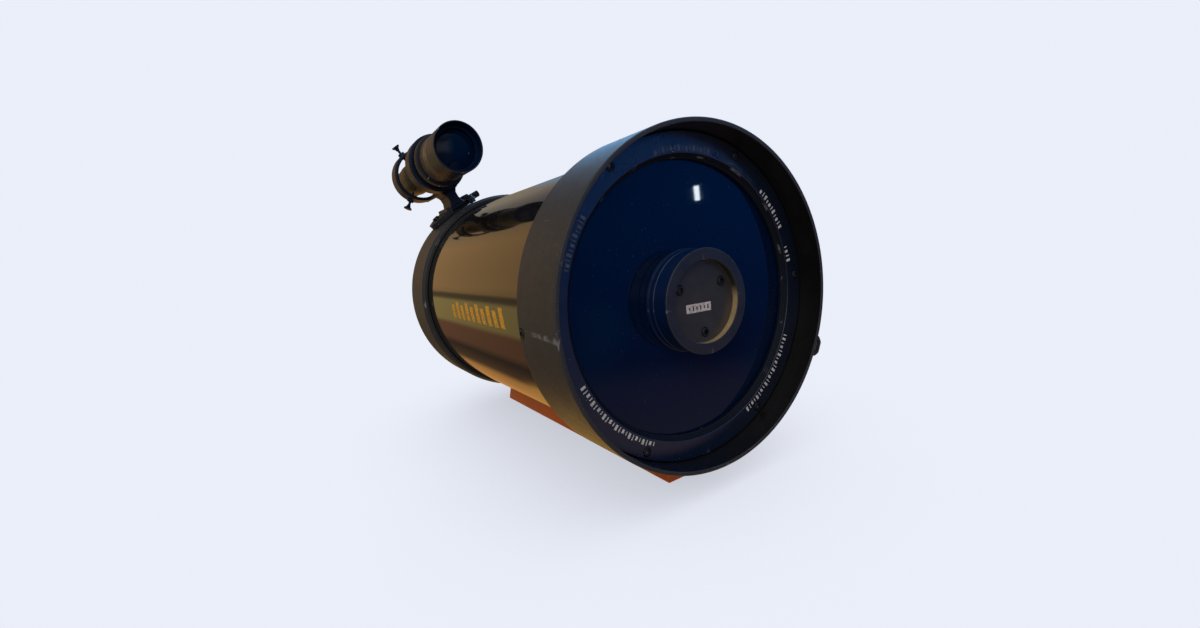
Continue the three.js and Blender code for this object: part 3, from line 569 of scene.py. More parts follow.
def orange_bar():
    """Burnt orange anodised aluminium with drawn lines along its length."""
    material, n, shader = new_material("orange_bar_look")
    drawn = n.noise(1.0, 3.0, n.stretched((900.0, 6.0, 900.0)))
    cloud = n.noise(30.0, 4.0, n.place())
    base = n.mix(cloud, (0.62, 0.085, 0.003), (0.84, 0.150, 0.006))
    base = n.mix(n.math("MULTIPLY", drawn, 0.22), base, (0.26, 0.045, 0.005))
    base = n.mix(worn_edges(n), base, (0.80, 0.42, 0.18))
    dress(
        n,
        shader,
        Base_Color=base,
        Metallic=0.2,
        Roughness=n.spread(drawn, 0.30, 0.46),
        Normal=bump(n, drawn, 0.12, 0.0001),
    )
    return material


def printed(name, color, rough=0.5, metallic=0.0):
    """Ink on metal: slightly uneven and worn thin in places."""
    material, n, shader = new_material(name)
    patch = n.noise(900.0, 4.0, n.place())
    base = n.mix(n.between(patch, 0.35, 0.7), color, tuple(c * 0.55 for c in color))
    dress(
        n,
        shader,
        Base_Color=base,
        Metallic=metallic,
        Roughness=n.spread(patch, rough - 0.1, rough + 0.15),
        Normal=bump(n, patch, 0.1, 0.0001),
    )
    return material


LOOKS = {
    "cell_paint": cell_paint(),
    "satin_black": satin_black("satin_black_look"),
    "corrector_glass": corrector_glass(),
    "lens_glass": lens_glass(),
    "rubber": rubber(),
    "black_steel": metal("black_steel_look", (0.035, 0.035, 0.038), 0.36, metallic=0.75),
    "steel": metal("steel_look", (0.56, 0.56, 0.57), 0.26),
    "aluminium": metal("aluminium_look", (0.62, 0.62, 0.63), 0.34),
    "mirror": mirror_look(),
    "tube_gloss": tube_gloss(),
    "orange_bar": orange_bar(),
}
# The ring's navy tint is a painted reflection of the dim blue room in front of it.
RING_LOOK = satin_black("ring_look", (0.0008, 0.0028, 0.0090), 0.27, 0.3, ior=1.95)
# A darker copy of the cell's black for its inner wall: painted shade of the recess.
CELL_WALL_LOOK = satin_black("cell_wall_look", (0.0032, 0.0027, 0.0027), 0.34, 0.4, 0.35)
BEZEL_LOOK = satin_black("bezel_look", (0.0035, 0.0045, 0.0080), 0.42, 0.5, 0.12)
# Near-black navy for the finder's mouth: painted shade inside it, with a painted navy reflection.
MOUTH_LOOK = satin_black("finder_mouth_look", (0.0003, 0.0040, 0.0150), 0.5, 0.1, 0.10)
HOLDER_LOOK = satin_black("holder_look", (0.0210, 0.0180, 0.0150), 0.36, 0.6)
FINDER_LOOK = satin_black("finder_look", (0.0135, 0.0130, 0.0150), 0.40, 0.8, 0.24)
# The bracket's navy tint is a painted reflection of the blue room in front of it.
BRACKET_LOOK = satin_black("bracket_look", (0.0030, 0.0058, 0.0130), 0.40, 0.8, 0.22)
# Navy for the holder's side: a painted reflection of the dark blue glass beside it.
NAVY_REFLECTION_LOOK = satin_black("navy_side_reflection_look", (0.0005, 0.0060, 0.0280), 0.30, 0.4)
# A darker, bluer copy of the holder's black for its front rim: painted navy reflection.
HOLDER_RIM = satin_black("holder_rim_look", (0.0110, 0.0112, 0.0145), 0.36, 0.8)
# The holder's inner wall, with a painted highlight on its lower part.
HOLDER_WALL = holder_wall()
LUG_FACE = metal("lug_face_look", (0.24, 0.20, 0.14), 0.55, metallic=0.3)
RING_INK = printed("ring_ink_look", (0.66, 0.62, 0.57))
# A dimmer, bluer copy of the same ink for the upper arcs: painted shade.
SHADED_INK = printed("shaded_ink_look", (0.14, 0.14, 0.17))
# Tan metal for the finder cell's grooves: painted highlights where the groove edges catch warm light.
GROOVE_GLINT_LOOK = metal("groove_glint_look", (0.42, 0.27, 0.11), 0.4, metallic=0.8)
TUBE_INK = printed("tube_ink_look", (0.84, 0.38, 0.02), 0.4, 0.2)
LABEL_PAPER = printed("label_paper_look", (0.56, 0.47, 0.45), 0.6)
LABEL_INK = printed("label_ink_look", (0.035, 0.03, 0.035), 0.6)


# ---------- pieces ----------
def finish_piece(name, bm, body, materials, matrix):
    """Turns a shape into an object that rides on a CAD body."""
    bm.transform(matrix)
    bmesh.ops.recalc_face_normals(bm, faces=bm.faces)
    mesh = bpy.data.meshes.new(name)
    bm.to_mesh(mesh)
    bm.free()
    for material in materials:
        mesh.materials.append(material)
    mesh.shade_smooth()
    mesh.set_sharp_from_angle(angle=SHARP_ANGLE)
    made = bpy.data.objects.new(name, mesh)
    bpy.context.scene.collection.objects.link(made)
    weighting = made.modifiers.new("flat faces stay flat", "WEIGHTED_NORMAL")
    weighting.keep_sharp = True
    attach(made, body)
    return made


def stand_for(node, bm, extra=(), look=None, matrix=TUBE):
    """A finished piece in place of a CAD node, on that node's body. Its look follows the node's material slot
    unless another look is given; finder parts in satin black take the finder look.
    """
    slot = SLOT_OF[node]
    if node.startswith("finder") and slot == "satin_black":
        look = look or FINDER_LOOK
    body = frame["nodes"][node]["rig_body"]
    made = finish_piece(node + "_finished", bm, body, [look or LOOKS[slot], *extra], matrix)
    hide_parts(node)
    return made


def surface_mark(name, bm, ink, matrix=TUBE):
    """Ink or paper on the telescope's surface."""
    finish_piece(name, bm, "tube_assembly", [ink], matrix)


def off_axis(c):
    return math.hypot(c.x, c.z)


def paint_faces(bm, index, chosen):
    """Gives a material index to the faces whose centre passes a test."""
    for face in bm.faces:
        if chosen(face.calc_center_median()):
            face.material_index = index


def round_section(r, y, radius, steps=16):
    """The outline of a round ring's section, centred on (r, y)."""
    angles = [2 * math.pi * k / steps for k in range(steps)]
    return [(r + radius * math.cos(a), y + radius * math.sin(a), 0) for a in angles]


# Outlines [r, y] of the plain turned pieces: node -> (facets, placement, outline).
TURNED = {
    "corrector_plate": (FINE, None, [(25.3, 19.5), (80.3, 19.5), (80.3, 23.7), (25.3, 23.7)]),
    "corrector_gasket": (FINE, None, [(77.4, 24), (80.3, 24), (80.3, 24.9), (77.4, 24.9)]),
    "secondary_baffle_nut": (
        MEDIUM,
        None,
        [(25.2, 24), (31, 24, 1), (31, 44), (29.4, 44), (29.4, 29.9), (25.2, 29.9)],
    ),
    "secondary_pivot": (
        SMALL,
        None,
        [(0, 11.3), (2, 11.3, 1), (3.2, 12.2, 1), (3.2, 14.1, 1), (2, 15, 1), (0, 15)],
    ),
    "secondary_mirror": (MEDIUM, None, [(0, 32), (21.3, 32), (21.3, 38), (10.6, 38.45, 20), (0, 38.6)]),
    "tube_barrel": (FINE, None, [(84.4, 30.3), (TUBE_R, 30.3), (TUBE_R, 262), (84.4, 262)]),
    "baffle_tube": (MEDIUM, None, [(17.4, 165), (19, 165), (19, 324.5), (17.4, 324.5)]),
    "mirror_lock_ring": (MEDIUM, None, [(23.9, 263.6), (30, 263.6, 0.8), (30, 267.9, 0.8), (23.9, 267.9)]),
    "focus_shaft": (SMALL, FOCUS, [(0, 292), (3, 292, 0.6), (3, 336.5, 0.6), (0, 336.5)]),
    "focus_knob": (
        MEDIUM,
        FOCUS,
        [
            (0, 337), (3.3, 337), (3.3, 323), (12.5, 323), (12.5, 340.5, 0.6), (11, 342, 0.8),
            (7.4, 342, 0.3), (7, 341.4, 0.3), (0, 341.4),
        ],
    ),
    "finder_tube": (
        MEDIUM,
        FINDER,
        [
            (14.6, 215), (16, 215), (16, 351, 1), (12.6, 356, 1.5), (12.6, 364), (11.2, 364),
            (11.2, 355.7, 1), (14.6, 350.7, 1),
        ],
    ),
    "finder_objective_lens": (
        MEDIUM,
        FINDER,
        [(0, 206.6), (9, 207.2, 30), (15.6, 209, 0.2), (15.6, 212.6), (0, 212.6)],
    ),
    "finder_o_ring": (MEDIUM, FINDER, round_section(18.2, 271, 1.8)),
    "finder_eye_lens": (
        MEDIUM,
        FINDER,
        [(0, 368), (7.6, 368), (7.6, 371.2), (4.4, 371.85, 6), (0, 372)],
    ),
}


def build_turned():
    for node, (facets, placement, outline) in TURNED.items():
        shape = revolve(outline, facets)
        if placement:
            placed(shape, placement)
        stand_for(node, shape)


# ---- front end ----
RING_SCREW_R, RING_SEAT_Y = 86, 15.7
SIDE_SCREW_ANGLES = (180, 60, -60)
SIDE_SCREW_Y, SIDE_SEAT_R = 38.5, 91.6
LUG_ANGLE = -27.5


def ring_screw_spots():
    return [on_circle(RING_SCREW_R, 60 * i) for i in range(6)]


def front_cell():
    shell = revolve(
        [
            (90.6, 0, 0.5), (93, 0, 0.7), (93, 42, 0.9), (86.3, 42), (86.3, 30), (77, 30),
            (77, 25.2), (80.6, 25.2), (80.6, 19.5), (90.2, 19.5),
        ],
        FINE,
    )
    lug_half = [(7, 91.4), (6.4, 99.3, 3), (3.6, 102.5, 3)]
    lug = placed(prism(both_sides(lug_half), 4, 16, corner=0.1, edge=1.0), outward(LUG_ANGLE))
    pad = box((-15, 15), (28, 41), (BAR_Z + 12, -89), edge=0.6)
    body = join(shell, [lug, pad])
    dish_half = [(5, 94.4, 1), (4.6, 98.6, 2), (2.4, 100.9, 2)]
    dish = prism(both_sides(dish_half), 2, 5.4, corner=1, edge=0)
    pockets = [
        placed(counterbore(3.0, 1.5, 1.8, 9.5), outward(angle, SIDE_SCREW_Y, SIDE_SEAT_R - 0.3))
        for angle in SIDE_SCREW_ANGLES
    ]
    threads = [placed(rod(1.45, -12, 0), forward(x, RING_SEAT_Y, z)) for x, z in ring_screw_spots()]
    body = cut(body, [placed(dish, outward(LUG_ANGLE)), *pockets, *threads])
    paint_faces(body, 1, lambda c: 5.2 < c.y < 5.6 and off_axis(c) > 94)
    # Index 2: the recessed inner wall, in the darker look that paints its shade.
    paint_faces(body, 2, lambda c: c.y < 30 and off_axis(c) < 90.7)
    stand_for("front_cell", body, extra=[LUG_FACE, CELL_WALL_LOOK])


def retaining_ring():
    outline = [
        (76, 17.5), (76.7, 16.6, 0.15), (77.1, 16.6, 0.1), (77.7, 15.6, 0.15), (78.0, 15.6, 0.1),
        (78.6, 14.4, 0.3), (89.9, 14.4, 0.5), (89.9, 19.2), (76, 19.2),
    ]
    spots = [forward(x, RING_SEAT_Y + 0.3, z) for x, z in ring_screw_spots()]
    body = cut(revolve(outline, FINE), [placed(counterbore(2.8, 2, 1.45, 10), spot) for spot in spots])
    paint_faces(body, 1, lambda c: off_axis(c) < 78.5 and c.y > 14.5)
    stand_for("corrector_retaining_ring", body, extra=[BEZEL_LOOK], look=RING_LOOK)


MARK_R, RING_FACE_Y = 81.2, 14.4
# Stretches of the ring that carry marks: first and last angle in degrees.
BRIGHT_ARCS = ((201, 242), (295, 333.5), (22.5, 41), (7, 13))
# The upper arcs, whose marks take the dimmer ink as painted shade.
SHADED_ARCS = ((140, 159), (74, 100))
MARK_STEP = 1.8  # degrees from one mark to the next
MARK_SIZES = ((1.5, 3.0), (0.6, 3.0), (1.5, 2.2), (0.6, 2.2))  # widths and heights, repeated
MARK_FOOT = -1.5  # where a mark starts, inwards of MARK_R


def scale(name, arcs, ink):
    """A plain graduated scale on the ring's face, in place of lettering."""
    marks = []
    for first, last in arcs:
        count = round((last - first) / MARK_STEP)
        for i in range(count + 1):
            angle = first + (last - first) * i / count
            width, height = MARK_SIZES[i % len(MARK_SIZES)]
            side, top = width / 2, height + MARK_FOOT
            bar = box((-side, side), (MARK_FOOT, top), (0, HAIR), edge=0)
            marks.append(placed(bar, outward(angle, RING_FACE_Y - HAIR, MARK_R)))
    surface_mark(name, combine(marks), ink)


def ring_marks():
    scale("retaining_ring_scale", BRIGHT_ARCS, RING_INK)
    scale("retaining_ring_shaded_scale", SHADED_ARCS, SHADED_INK)


HOLDER_FLOOR_Y, COLLIMATION_R = 7, 17
COLLIMATION_ANGLES = (30, 150, -90)


def collimation_spots():
    return [on_circle(COLLIMATION_R, angle) for angle in COLLIMATION_ANGLES]


def secondary_holder():
    outline = [
        (0, HOLDER_FLOOR_Y), (22.4, HOLDER_FLOOR_Y, 0.5), (22.4, 2.8, 0.4), (28.4, 2.8, 0.6),
        (28.4, 5, 0.2), (28, 5, 0.1), (28, 12.6, 0.1), (27.6, 12.9, 0.1), (27.6, 13.5, 0.1),
        (28, 13.8, 0.1), (28, 17.2, 0.2), (28.8, 17.2, 0.2), (28.8, 19.2, 0.1), (24.9, 19.2, 0.1),
        (24.9, 29.6), (22.6, 29.6), (22.6, 11), (0, 11),
    ]
    body = revolve(outline, FINE)
    seats = [placed(counterbore(2.8, 4, 1.8, 6), forward(x, 8.6, z)) for x, z in collimation_spots()]
    body = cut(body, seats)
    # Index 1: the recess wall, which carries a painted highlight.
    paint_faces(body, 1, lambda c: 22.2 < off_axis(c) < 22.6 and 3.3 < c.y < 6.4)
    # Index 2: the holder's side, painted navy as a reflection.
    paint_faces(body, 2, lambda c: off_axis(c) > 27.2 and c.y > 3.6)
    # Index 3: the front rim, in the painted navy reflection.
    paint_faces(body, 3, lambda c: off_axis(c) > 22.6 and c.y < 3.6)
    stand_for("secondary_holder", body, extra=[HOLDER_WALL, NAVY_REFLECTION_LOOK, HOLDER_RIM], look=HOLDER_LOOK)


LABEL_X, LABEL_Z, LABEL_HALF, LABEL_THICKNESS = -2.9, -3.0, (8.75, 2.35), 0.12


def holder_label():
    """A blank paper label with a row of plain dashes, in place of a number."""
    across, up = LABEL_HALF
    facing = rearward(LABEL_X, HOLDER_FLOOR_Y, LABEL_Z) @ Matrix.Rotation(math.pi / 2, 4, "X")
    facing = facing @ Matrix.Rotation(math.radians(-3.5), 4, "Z")
    corners = [(-across, -up), (across, -up), (across, up), (-across, up)]
    paper = prism(corners, 0, LABEL_THICKNESS, corner=0.4, edge=0)
    surface_mark("holder_label", paper, LABEL_PAPER, TUBE @ facing)
    dashes = []
    for i in range(6):
        x = (i - 2.5) * 2.6
        half = 1.25 if i % 2 else 0.8
        dashes.append(box((x - 0.45, x + 0.45), (-half, half), (LABEL_THICKNESS, 0.16), edge=0))
    surface_mark("holder_label_dashes", combine(dashes), LABEL_INK, TUBE @ facing)


def mirror_plate():
    front = [(0, 15.3), (21.5, 15.3), (21.5, 19.5), (10, 19.5, 1)]
    rear = [(10, 29.5, 1), (21.3, 29.5), (21.3, 31.7), (0, 31.7)]
    body = revolve([*front, *rear])
    holes = [placed(rod(1.9, 14, 21), rearward(x, 0, z)) for x, z in collimation_spots()]
    stand_for("secondary_mirror_plate", cut(body, holes))


# ---- screws ----
BAR_SCREW_SPOTS = [(x, y) for y in (35, 263) for x in (-9, 9)]
SHOE_SCREW_SPOTS = [(126, 285), (104.5, 275)]  # angle round the tube, and y


def focus_screw_spots():
    return [on_circle(10.5, angle) for angle in (90, 210, 330)]


def socket_screw(head_r, head_height, shank_r, shank_length):
    """A socket-head screw: its head stands on y = 0 and its shank runs to -y."""
    grip = teeth(20, head_r * 0.03, head_r * 0.97)
    body = revolve(
        [
            (0, -shank_length), (shank_r, -shank_length, 0.3), (shank_r, 0, 0), (head_r, 0, 0.1),
            (head_r, head_height, head_height * 0.35), (0, head_height),
        ],
        80,
        grip,
    )
    socket_r, bottom, top = head_r * 0.55, head_height * 0.35, head_height + 1
    socket = revolve([(0, bottom), (socket_r, bottom), (socket_r, top), (0, top)], HEX, radius=0)
    return cut(body, [socket])


def screw_row(stem, size, spots):
    for i, spot in enumerate(spots):
        stand_for(f"{stem}_{i + 1}", placed(socket_screw(*size), spot))


def screws():
    """Each row's size is head radius and height, then shank radius and length."""
    ring = [forward(x, RING_SEAT_Y, z) for x, z in ring_screw_spots()]
    holder = [forward(x, 8.3, z) for x, z in collimation_spots()]
    side = [outward(angle, SIDE_SCREW_Y, SIDE_SEAT_R) for angle in SIDE_SCREW_ANGLES]
    plate = [FOCUS @ rearward(x, 320.3, z) for x, z in focus_screw_spots()]
    bar = [downward(x, y, -101.3) for x, y in BAR_SCREW_SPOTS]
    shoe = [outward(angle, y, 96.1) for angle, y in SHOE_SCREW_SPOTS]
    screw_row("retaining_screw", (2.5, 1.8, 1.15, 10), ring)
    screw_row("collimation_screw", (2.5, 2.1, 1.5, 13), holder)
    screw_row("front_cell_screw", (2.6, 1.8, 1.5, 8.4), side)
    screw_row("focus_plate_screw", (2.1, 1.7, 1.15, 6), plate)
    screw_row("dovetail_screw", (3.6, 4, 1.8, 12.1), bar)
    screw_row("finder_shoe_screw", (3.1, 1.9, 1.5, 9), shoe)


# ---- tube and rear end ----
def tube_marks():
    """A row of plain gold bars on the tube's left side, in place of lettering."""
    bars = []
    first_y, pitch, width, slant = 78, 10.6, 6.2, 2.6
    low, high, steps = -3.0, 9.5, 8
    for i in range(10):
        y = first_y + pitch * i
        top = high - 2.2 * (i % 2)
        bm = bmesh.new()
        layers = []
        for reach in (TUBE_R + 0.01, TUBE_R + HAIR):
            rows = []
            for k in range(steps + 1):
                z = low + (top - low) * k / steps
                x = -math.sqrt(reach**2 - z**2)
                lean = slant * k / steps
                rows.append([bm.verts.new((x, y + lean + side, z)) for side in (0, width)])
            layers.append(rows)
        inner, outer = layers
        for k in range(steps):
            for rows in layers:
                bm.faces.new((rows[k][0], rows[k][1], rows[k + 1][1], rows[k + 1][0]))
            for side in (0, 1):
                bm.faces.new((inner[k][side], inner[k + 1][side], outer[k + 1][side], outer[k][side]))
        for k in (0, steps):
            bm.faces.new((inner[k][0], inner[k][1], outer[k][1], outer[k][0]))
        bars.append(bm)
    finish_piece("tube_side_bars", combine(bars), "tube_assembly", [TUBE_INK], TUBE)


def rear_cell():
    shell = revolve(
        [
            (86.3, 252.7), (88.8, 252.7, 0.5), (90.8, 255.2, 1), (90.8, 296, 7), (87, 304, 8),
            (76, 311, 14), (63, 318, 6), (25, 318, 1.2), (25, 325, 0.5), (19.4, 325), (19.4, 312.5),
            (58, 312.5, 5), (72, 306, 8), (82, 298, 5), (84, 292, 4), (84, 262.3), (86.3, 262.3),
        ],
        FINE,
    )
    pad = box((-16, 16), (254, 273), (BAR_Z + 12, -87), edge=0.8)
    body = join(shell, [pad])
    shaft = placed(rod(3.4, 310, 320), FOCUS)
    stand_for("rear_cell", cut(body, [shaft]))


def primary_mirror():
    """A hollow front face, its depth set by the focal length."""
    hole, edge, vertex, rear, focal = 24, 77.5, 269, 285, 300
    radii = [hole + (edge - hole) * i / 16 for i in range(17)]
    face = [(r, vertex - r * r / (4 * focal), 0) for r in radii]
    stand_for("primary_mirror", revolve([*face, (edge, rear, 0.8), (hole, rear)], FINE))


def mirror_carrier():
    sleeve_front = [(19.5, 262), (23.6, 262), (23.6, 285.3, 1)]
    plate = [(58, 285.3, 0.8), (58, 290, 0.8)]
    sleeve_rear = [(25, 290, 1), (25, 300), (19.5, 300)]
    hub = revolve([*sleeve_front, *plate, *sleeve_rear])
    nut = placed(rod(7, 288, 304, edge=0.5), FOCUS)
    body = cut(join(hub, [nut]), [placed(rod(3.4, 284, 306), FOCUS)])
    stand_for("mirror_carrier", body)


def focuser():
    disc = placed(revolve([(3.3, 318.3), (14, 318.3, 0.3), (14, 322.3, 0.8), (3.3, 322.3)]), FOCUS)
    spots = [FOCUS @ rearward(x, 320, z) for x, z in focus_screw_spots()]
    seats = [placed(counterbore(2.4, 2, 1.45, 6), spot) for spot in spots]
    stand_for("focus_bearing_plate", cut(disc, seats))
    outline = [(12.8, 324), (15.2, 324, 1), (15.2, 340, 1), (12.8, 340)]
    grip = revolve(outline, 320, teeth(20, 0.9, 14))
    stand_for("focus_knob_grip", placed(grip, FOCUS))


def visual_back():
    body = revolve(
        [
            (16, 325.3), (24.4, 325.3), (24.4, 328.2), (20, 328.2), (20, 333.6, 0.3),
            (19.6, 334, 0.2), (19.6, 335.2, 0.2), (20, 335.6, 0.3), (20, 350, 0.7), (16, 350, 0.6),
        ],
        FINE,
    )
    angles = (90, 0)
    holes = [placed(rod(1.7, 15, 21), outward(angle, 341)) for angle in angles]
    stand_for("visual_back", cut(body, holes))
    collar = revolve(
        [(25.4, 319), (29.6, 319, 0.8), (29.6, 332, 0.8), (20.5, 332), (20.5, 328.6), (25.4, 328.6)],
        36 * 10,
        teeth(36, 0.8, 28),
    )
    stand_for("visual_back_ring", collar)
    for i, angle in enumerate(angles):
        shank = [(0, -8.6), (1.4, -8.6), (1.4, 0)]
        head = [(4.2, 0, 0.5), (4.2, 6, 0.8), (2.6, 6, 0.3), (2.3, 5.6, 0.2), (0, 5.6)]
        screw = revolve([*shank, *head], 160, teeth(16, 0.45, 3.4))
        stand_for(f"visual_back_thumbscrew_{i + 1}", placed(screw, outward(angle, 341, 25)))


def dovetail_bar():
    half_bottom, half_top, top = 22, 18.9, -94.4
    outline = [
        (-half_bottom + 1, BAR_Z, 0.6), (half_bottom - 1, BAR_Z, 0.6),
        (half_bottom, BAR_Z + 1, 0.6), (half_top, top, 0.8), (-half_top, top, 0.8),
        (-half_bottom, BAR_Z + 1, 0.6),
    ]
    bar = prism(outline, -268, -27, corner=0.6, edge=1.8)
    placed(bar, Matrix.Rotation(math.pi / 2, 4, "X"))
    seats = [placed(counterbore(3.9, 6, 2.1, 14), downward(x, y, -101)) for x, y in BAR_SCREW_SPOTS]
    stand_for("dovetail_bar", cut(bar, seats))


# ---- finder mounting ----
def curved_plate(outline, inner, outer, angle, steps=6):
    """A plate bent round the tube. The outline is in (distance round the tube, y), from an angle."""
    flat = filleted(outline, 2.0, steps)
    plate = prism([(u, v) for u, v in flat], inner, outer, edge=0)
    low, high = min(u for u, _ in flat), max(u for u, _ in flat)
    strips = max(8, round(high - low) // 2)
    for k in range(1, strips):
        at = low + (high - low) * k / strips
        everything = plate.verts[:] + plate.edges[:] + plate.faces[:]
        bmesh.ops.bisect_plane(plate, geom=everything, plane_co=(at, 0, 0), plane_no=(1, 0, 0))
    for vertex in plate.verts:
        u, v, reach = vertex.co
        a = math.radians(angle) + u / outer
        vertex.co = (reach * math.cos(a), v, reach * math.sin(a))
    bmesh.ops.recalc_face_normals(plate, faces=plate.faces)
    return plate


def finder_shoe():
    inner, outer = 91.15, 95.8
    plate_outline = [
        (-17.2, 270, 4), (-12, 268, 3), (20, 268, 8), (31, 279, 6), (31, 291, 6), (20, 300, 8),
        (-17.2, 300, 3),
    ]
    plate = curved_plate(plate_outline, inner, outer, FINDER_ANGLE)
    clamp = placed(box((-17, -9.5), (91.6, 99.3), (282, 297), edge=1.2), SHOE)
    cheek = placed(box((9.5, 13.5), (92.5, 97.6), (270, 299), edge=1.0), SHOE)
    body = cast([plate, clamp, cheek], voxel=0.45, smoothing=4)
    slot = placed(prism(both_sides([(9.3, 92.2), (8, 97.4), (8, 103)]), 266, 302, edge=0), SHOE)
    holes = [placed(rod(1.8, 90, 97), outward(angle, y)) for angle, y in SHOE_SCREW_SPOTS]
    sideways = SHOE @ rearward(0, 94.3, 289.5) @ Matrix.Rotation(math.pi / 2, 4, "Z")
    holes.append(placed(rod(1.75, 7.2, 17.6), sideways))
    stand_for("finder_shoe", cut(body, [slot, *holes]))
    outline = [(0, 9.15), (1.45, 9.15, 0.3), (1.45, 17.6), (3, 17.6, 0.4), (3, 29, 0.6), (0, 29)]
    screw = revolve(outline, 160, teeth(14, 0.4, 2.4))
    stand_for("finder_lock_screw", placed(screw, sideways))


PUSH_Y = 335  # station of the adjusting screws and the plunger
PLUNGER_ANGLE, PUSH_ANGLES = 0, (120, 240)


def hoop(outer, bore, low, high):
    """A ring of the bracket, with a softly rounded outer edge."""
    outline = [(bore, low, 0.4), (outer, low, 1.3), (outer, high, 1.3), (bore, high, 0.4)]
    return placed(revolve(outline), FINDER)


def finder_bracket():
    foot = prism([(-8.9, 92.5), (8.9, 92.5), (8.02, 96), (-8.02, 96)], 271, 299, edge=0.3)
    stem = prism(both_sides([(7, 95.7), (4.8, 101), (4.8, 106), (9, 112.5)]), 274, 300, edge=0.8)
    spine = box((-4.8, 4.8), (109.6, 113.8), (262.3, 344.7), edge=1.0)
    plunger_line = FINDER @ outward(PLUNGER_ANGLE, PUSH_Y)
    screw_lines = [FINDER @ outward(angle, PUSH_Y) for angle in PUSH_ANGLES]
    bosses = [placed(rod(4.0, 22.8, 34, edge=0.8), plunger_line)]
    bosses += [placed(rod(3.4, 22.5, 27.4, edge=0.6), line) for line in screw_lines]
    local = [placed(shape, SHOE) for shape in (foot, stem, spine)]
    body = cast([hoop(25, 20.6, 262, 280), hoop(25, 21.6, 325, 345), *local, *bosses], voxel=0.6, smoothing=4)
    bores = [placed(rod(20.6, 255, 290, MEDIUM), FINDER), placed(rod(21.6, 318, 350, MEDIUM), FINDER)]
    holes = [placed(rod(2.4, 19, 36), plunger_line)]
    holes += [placed(rod(1.6, 19, 30), line) for line in screw_lines]
    stand_for("finder_bracket", cut(cut(body, bores), holes), look=BRACKET_LOOK)


def finder_screws():
    for i, angle in enumerate(PUSH_ANGLES):
        screw = revolve(
            [
                (0, -11.1), (1.25, -11.1, 0.4), (1.25, 2.2, 0.5), (1.7, 2.8, 0.5), (2.1, 4.4, 1.5),
                (3.9, 6, 0.5), (3.9, 7.2, 0.4), (0, 7.2),
            ],
            144,
            teeth(18, 0.35, 3.6),
        )
        stand_for(f"finder_thumbscrew_{i + 1}", placed(screw, FINDER @ outward(angle, PUSH_Y, 28)))
    plunger = revolve([(0, 17.6), (1.4, 17.6, 0.5), (2, 18.4, 0.4), (2, 31, 0.5), (0, 31)], SMALL)
    stand_for("finder_spring_plunger", placed(plunger, FINDER @ outward(PLUNGER_ANGLE, PUSH_Y)))


# ---- finder ----
def fine_groove(y):
    """A shallow groove round the objective cell, from a station rearward."""
    return [(20, y, 0.15), (19.55, y + 0.3, 0.1), (19.55, y + 1.1, 0.1), (20, y + 1.4, 0.15)]


OBJECTIVE_CELL = [
    (19.1, 200, 0.3), (20, 200, 0.4),
    *fine_groove(224.6),
    *fine_groove(228.1),
    *fine_groove(231.6),
    (20, 248, 0.8), (16.4, 248), (16.4, 214.6), (14.6, 214.6), (14.6, 212.9), (15.9, 212.9),
    (15.9, 206.5), (17.4, 206.5),
]


def finder_ends():
    outline = [(16.4, 248.4), (22.4, 248.4, 0.9), (22.4, 256, 0.9), (16.4, 256)]
    lock = revolve(outline, 90 * 6, teeth(90, 0.3, 22))
    stand_for("finder_lock_ring", placed(lock, FINDER))
    cell = revolve(OBJECTIVE_CELL)
    # Index 1: the mouth's inner wall, in painted shade and navy reflection.
    paint_faces(cell, 1, lambda c: off_axis(c) < 19.05 and c.y < 215)
    # Index 2: the fine grooves, carrying the painted highlights.
    paint_faces(cell, 2, lambda c: 19.3 < off_axis(c) < 19.85 and 224 < c.y < 234)
    stand_for("finder_objective_cell", placed(cell, FINDER), extra=[MOUTH_LOOK, GROOVE_GLINT_LOOK])
    eyepiece = revolve(
        [
            (13, 357.5), (14.8, 358.7, 0.4), (14.8, 376.8, 0.6), (13.6, 378, 0.8), (9.2, 378, 0.8),
            (7.9, 375, 0.6), (7.9, 364.5), (13, 364.5),
        ],
        60 * 6,
        teeth(60, 0.4, 14.4),
    )
    stand_for("finder_eyepiece", placed(eyepiece, FINDER))


build_turned()
front_cell()
retaining_ring()
ring_marks()
secondary_holder()
holder_label()
mirror_plate()
screws()
tube_marks()
rear_cell()
primary_mirror()
mirror_carrier()
focuser()
visual_back()
dovetail_bar()
finder_shoe()
finder_bracket()
finder_screws()
finder_ends()


# ---------- floor, room and light ----------
PALE = (0.83, 0.86, 0.95)  # the plain backdrop


def pale_floor():
    """A pale floor with a soft shadow where the bar rests on it. Only the camera sees it."""
    bpy.ops.mesh.primitive_plane_add(size=40, location=(0, 0, -0.0004))
    floor = bpy.context.active_object
    floor.name = "floor"
    material = bpy.data.materials.new("floor_look")
    material.use_nodes = True
    n = Nodes(material.node_tree)
    n.tree.nodes.clear()
    shade = n.add("AmbientOcclusion", {"Distance": 0.14}, output=1, samples=12)
    color = n.mix(n.between(shade, -0.1, 0.95), tuple(c * 0.62 for c in PALE), PALE)
    glow = n.add("Emission", {"Color": color})
    n.tree.links.new(glow, n.tree.nodes.new("ShaderNodeOutputMaterial").inputs[0])
    floor.data.materials.append(material)
    floor.visible_diffuse = False
    floor.visible_glossy = False
    floor.visible_transmission = False
    floor.visible_shadow = False


